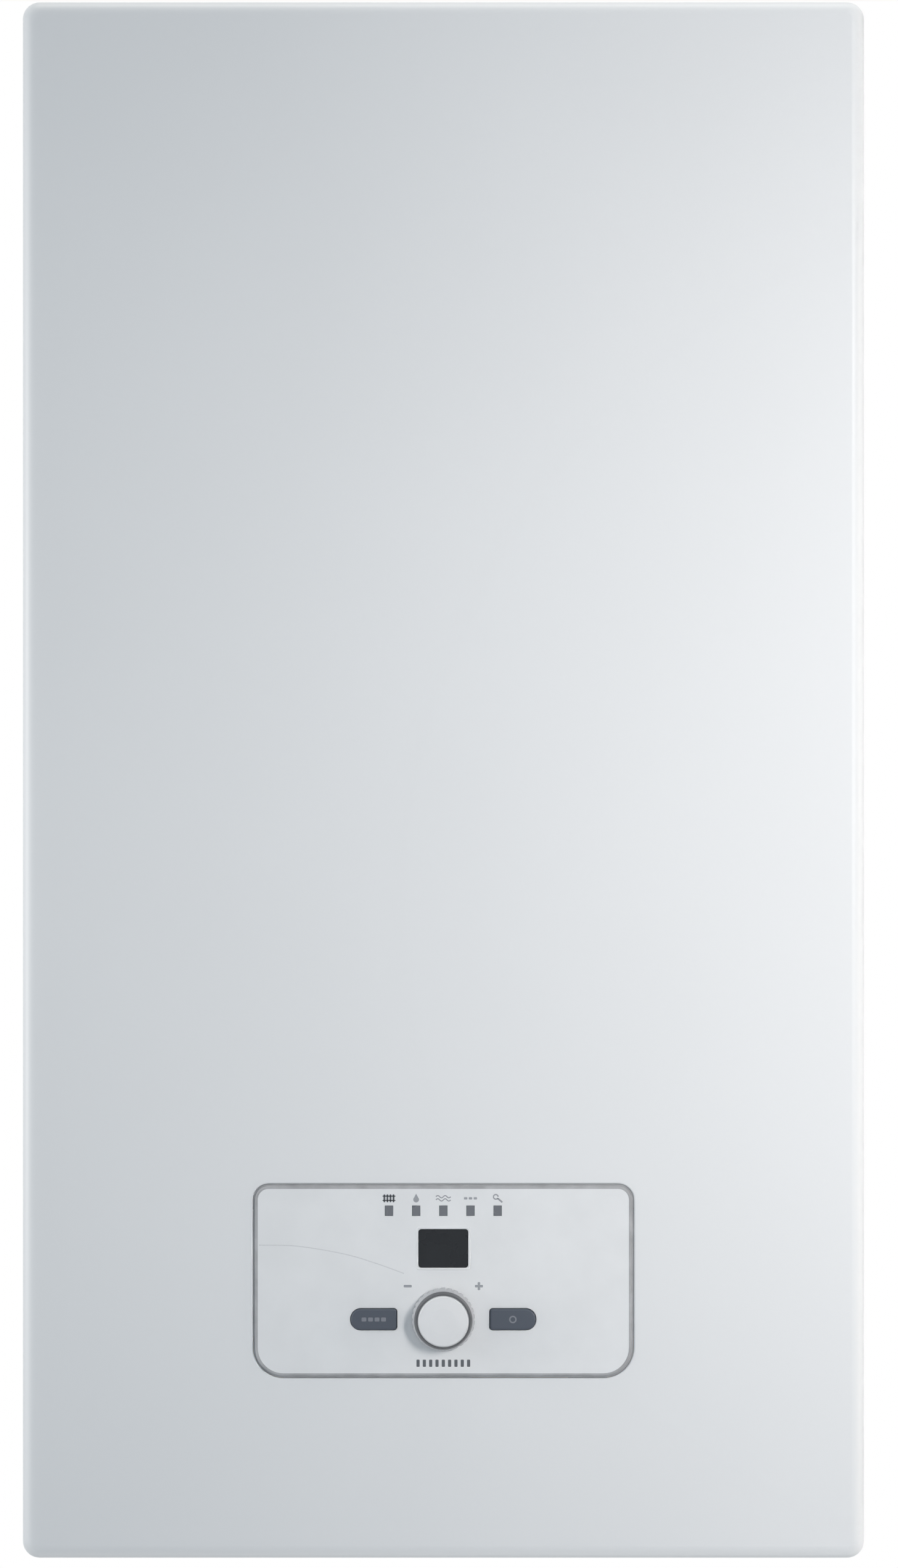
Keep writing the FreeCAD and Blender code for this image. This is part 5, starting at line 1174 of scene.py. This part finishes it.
def seen_directly(owner):
    """One where the camera, a reflection or a clear material looks, nought for other light."""
    rays = add_node(owner, "ShaderNodeLightPath")
    seen = rays.outputs["Is Camera Ray"]
    for ray in ("Is Glossy Ray", "Is Transmission Ray"):
        either = add_node(owner, "ShaderNodeMath")
        either.operation = "MAXIMUM"
        link(owner, seen, either.inputs[0])
        link(owner, rays.outputs[ray], either.inputs[1])
        seen = either.outputs["Value"]
    return seen


def mix_surface(owner, share, lit, white, output):
    """Give an output node its own look, and white where the share is one."""
    mix = add_node(owner, "ShaderNodeMixShader")
    link(owner, share, mix.inputs["Fac"])
    link(owner, lit, mix.inputs[1])
    link(owner, white, mix.inputs[2])
    link(owner, mix.outputs["Shader"], owner.node_tree.nodes[output].inputs["Surface"])


def studio_world(fill, brightness):
    """White backdrop that lights the object as a soft fill."""
    world = bpy.data.worlds.new("studio")
    world.use_nodes = True
    SCENE.world = world
    light = world.node_tree.nodes["Background"]
    set_inputs(light, Color=(*fill, 1.0), Strength=brightness)
    white = add_node(world, "ShaderNodeBackground", Color=(1.0, 1.0, 1.0, 1.0))
    looks = (light.outputs["Background"], white.outputs["Background"])
    mix_surface(world, seen_directly(world), *looks, "World Output")


def floor_finish():
    """Pale floor that fades into the white backdrop."""
    material = moulded("floor", (0.85, 0.85, 0.85), 0.8)
    white = add_node(material, "ShaderNodeEmission")
    share = add_node(material, "ShaderNodeMath")
    share.operation = "MULTIPLY"
    share.inputs[1].default_value = 0.96
    link(material, seen_directly(material), share.inputs[0])
    looks = (shader_of(material).outputs["BSDF"], white.outputs["Emission"])
    mix_surface(material, share.outputs["Value"], *looks, "Material Output")
    return material


def pale_floor():
    """Wide round floor far below the wall-hung casing."""
    mesh = bmesh.new()
    disc = [(0, 0), (30000, 0), (30000, 20), (0, 20)]
    add_turned(mesh, disc, (0.0, 0.0, -6.02), UP, 96)
    floor = bpy.data.objects.new("floor", finished_mesh("floor", mesh, floor_finish()))
    SCENE.collection.objects.link(floor)


def photo_camera():
    """Camera square to the front, a long way off."""
    away = 3.0
    plane = FRONT_Y + 6.0 * MM  # where the photo's scale holds
    data = bpy.data.cameras.new("camera")
    data.sensor_width = 36.0
    data.lens = data.sensor_width * away / (IMAGE_HEIGHT * PIXEL)
    camera = bpy.data.objects.new("camera", data)
    camera.location = (2.7 * MM, plane - away, middle_of("front_cover").z - 1.9 * MM)
    camera.rotation_euler = (math.pi / 2, 0.0, 0.0)
    SCENE.collection.objects.link(camera)
    SCENE.camera = camera


soft_light("key", (1.021, FRONT_Y - 2.318, 0.1), FACE_SPOT, 0.3, 0.8, 1.83, (1.0, 0.95, 0.92), 34.7)
soft_light("left_side", (-1.063, -0.485, -0.308), MIDDLE, 0.4, 0.7, 4.6, (1.0, 0.96, 0.92))
soft_light("right_side", (1.576, -0.478, -0.308), MIDDLE, 0.6, 1.4, 6.7, (1.0, 0.86, 0.73))
soft_light("over", (0.0, -0.312, 1.288), MIDDLE, 1.2, 0.6, 7.5, (1.0, 0.94, 0.86))
soft_light("under", (0.0, -0.298, -1.705), MIDDLE, 1.2, 0.6, 2.4, (1.0, 0.94, 0.86))
studio_world((0.79, 0.90, 1.0), 0.44)
pale_floor()
photo_camera()
SCENE.view_settings.view_transform = "Standard"
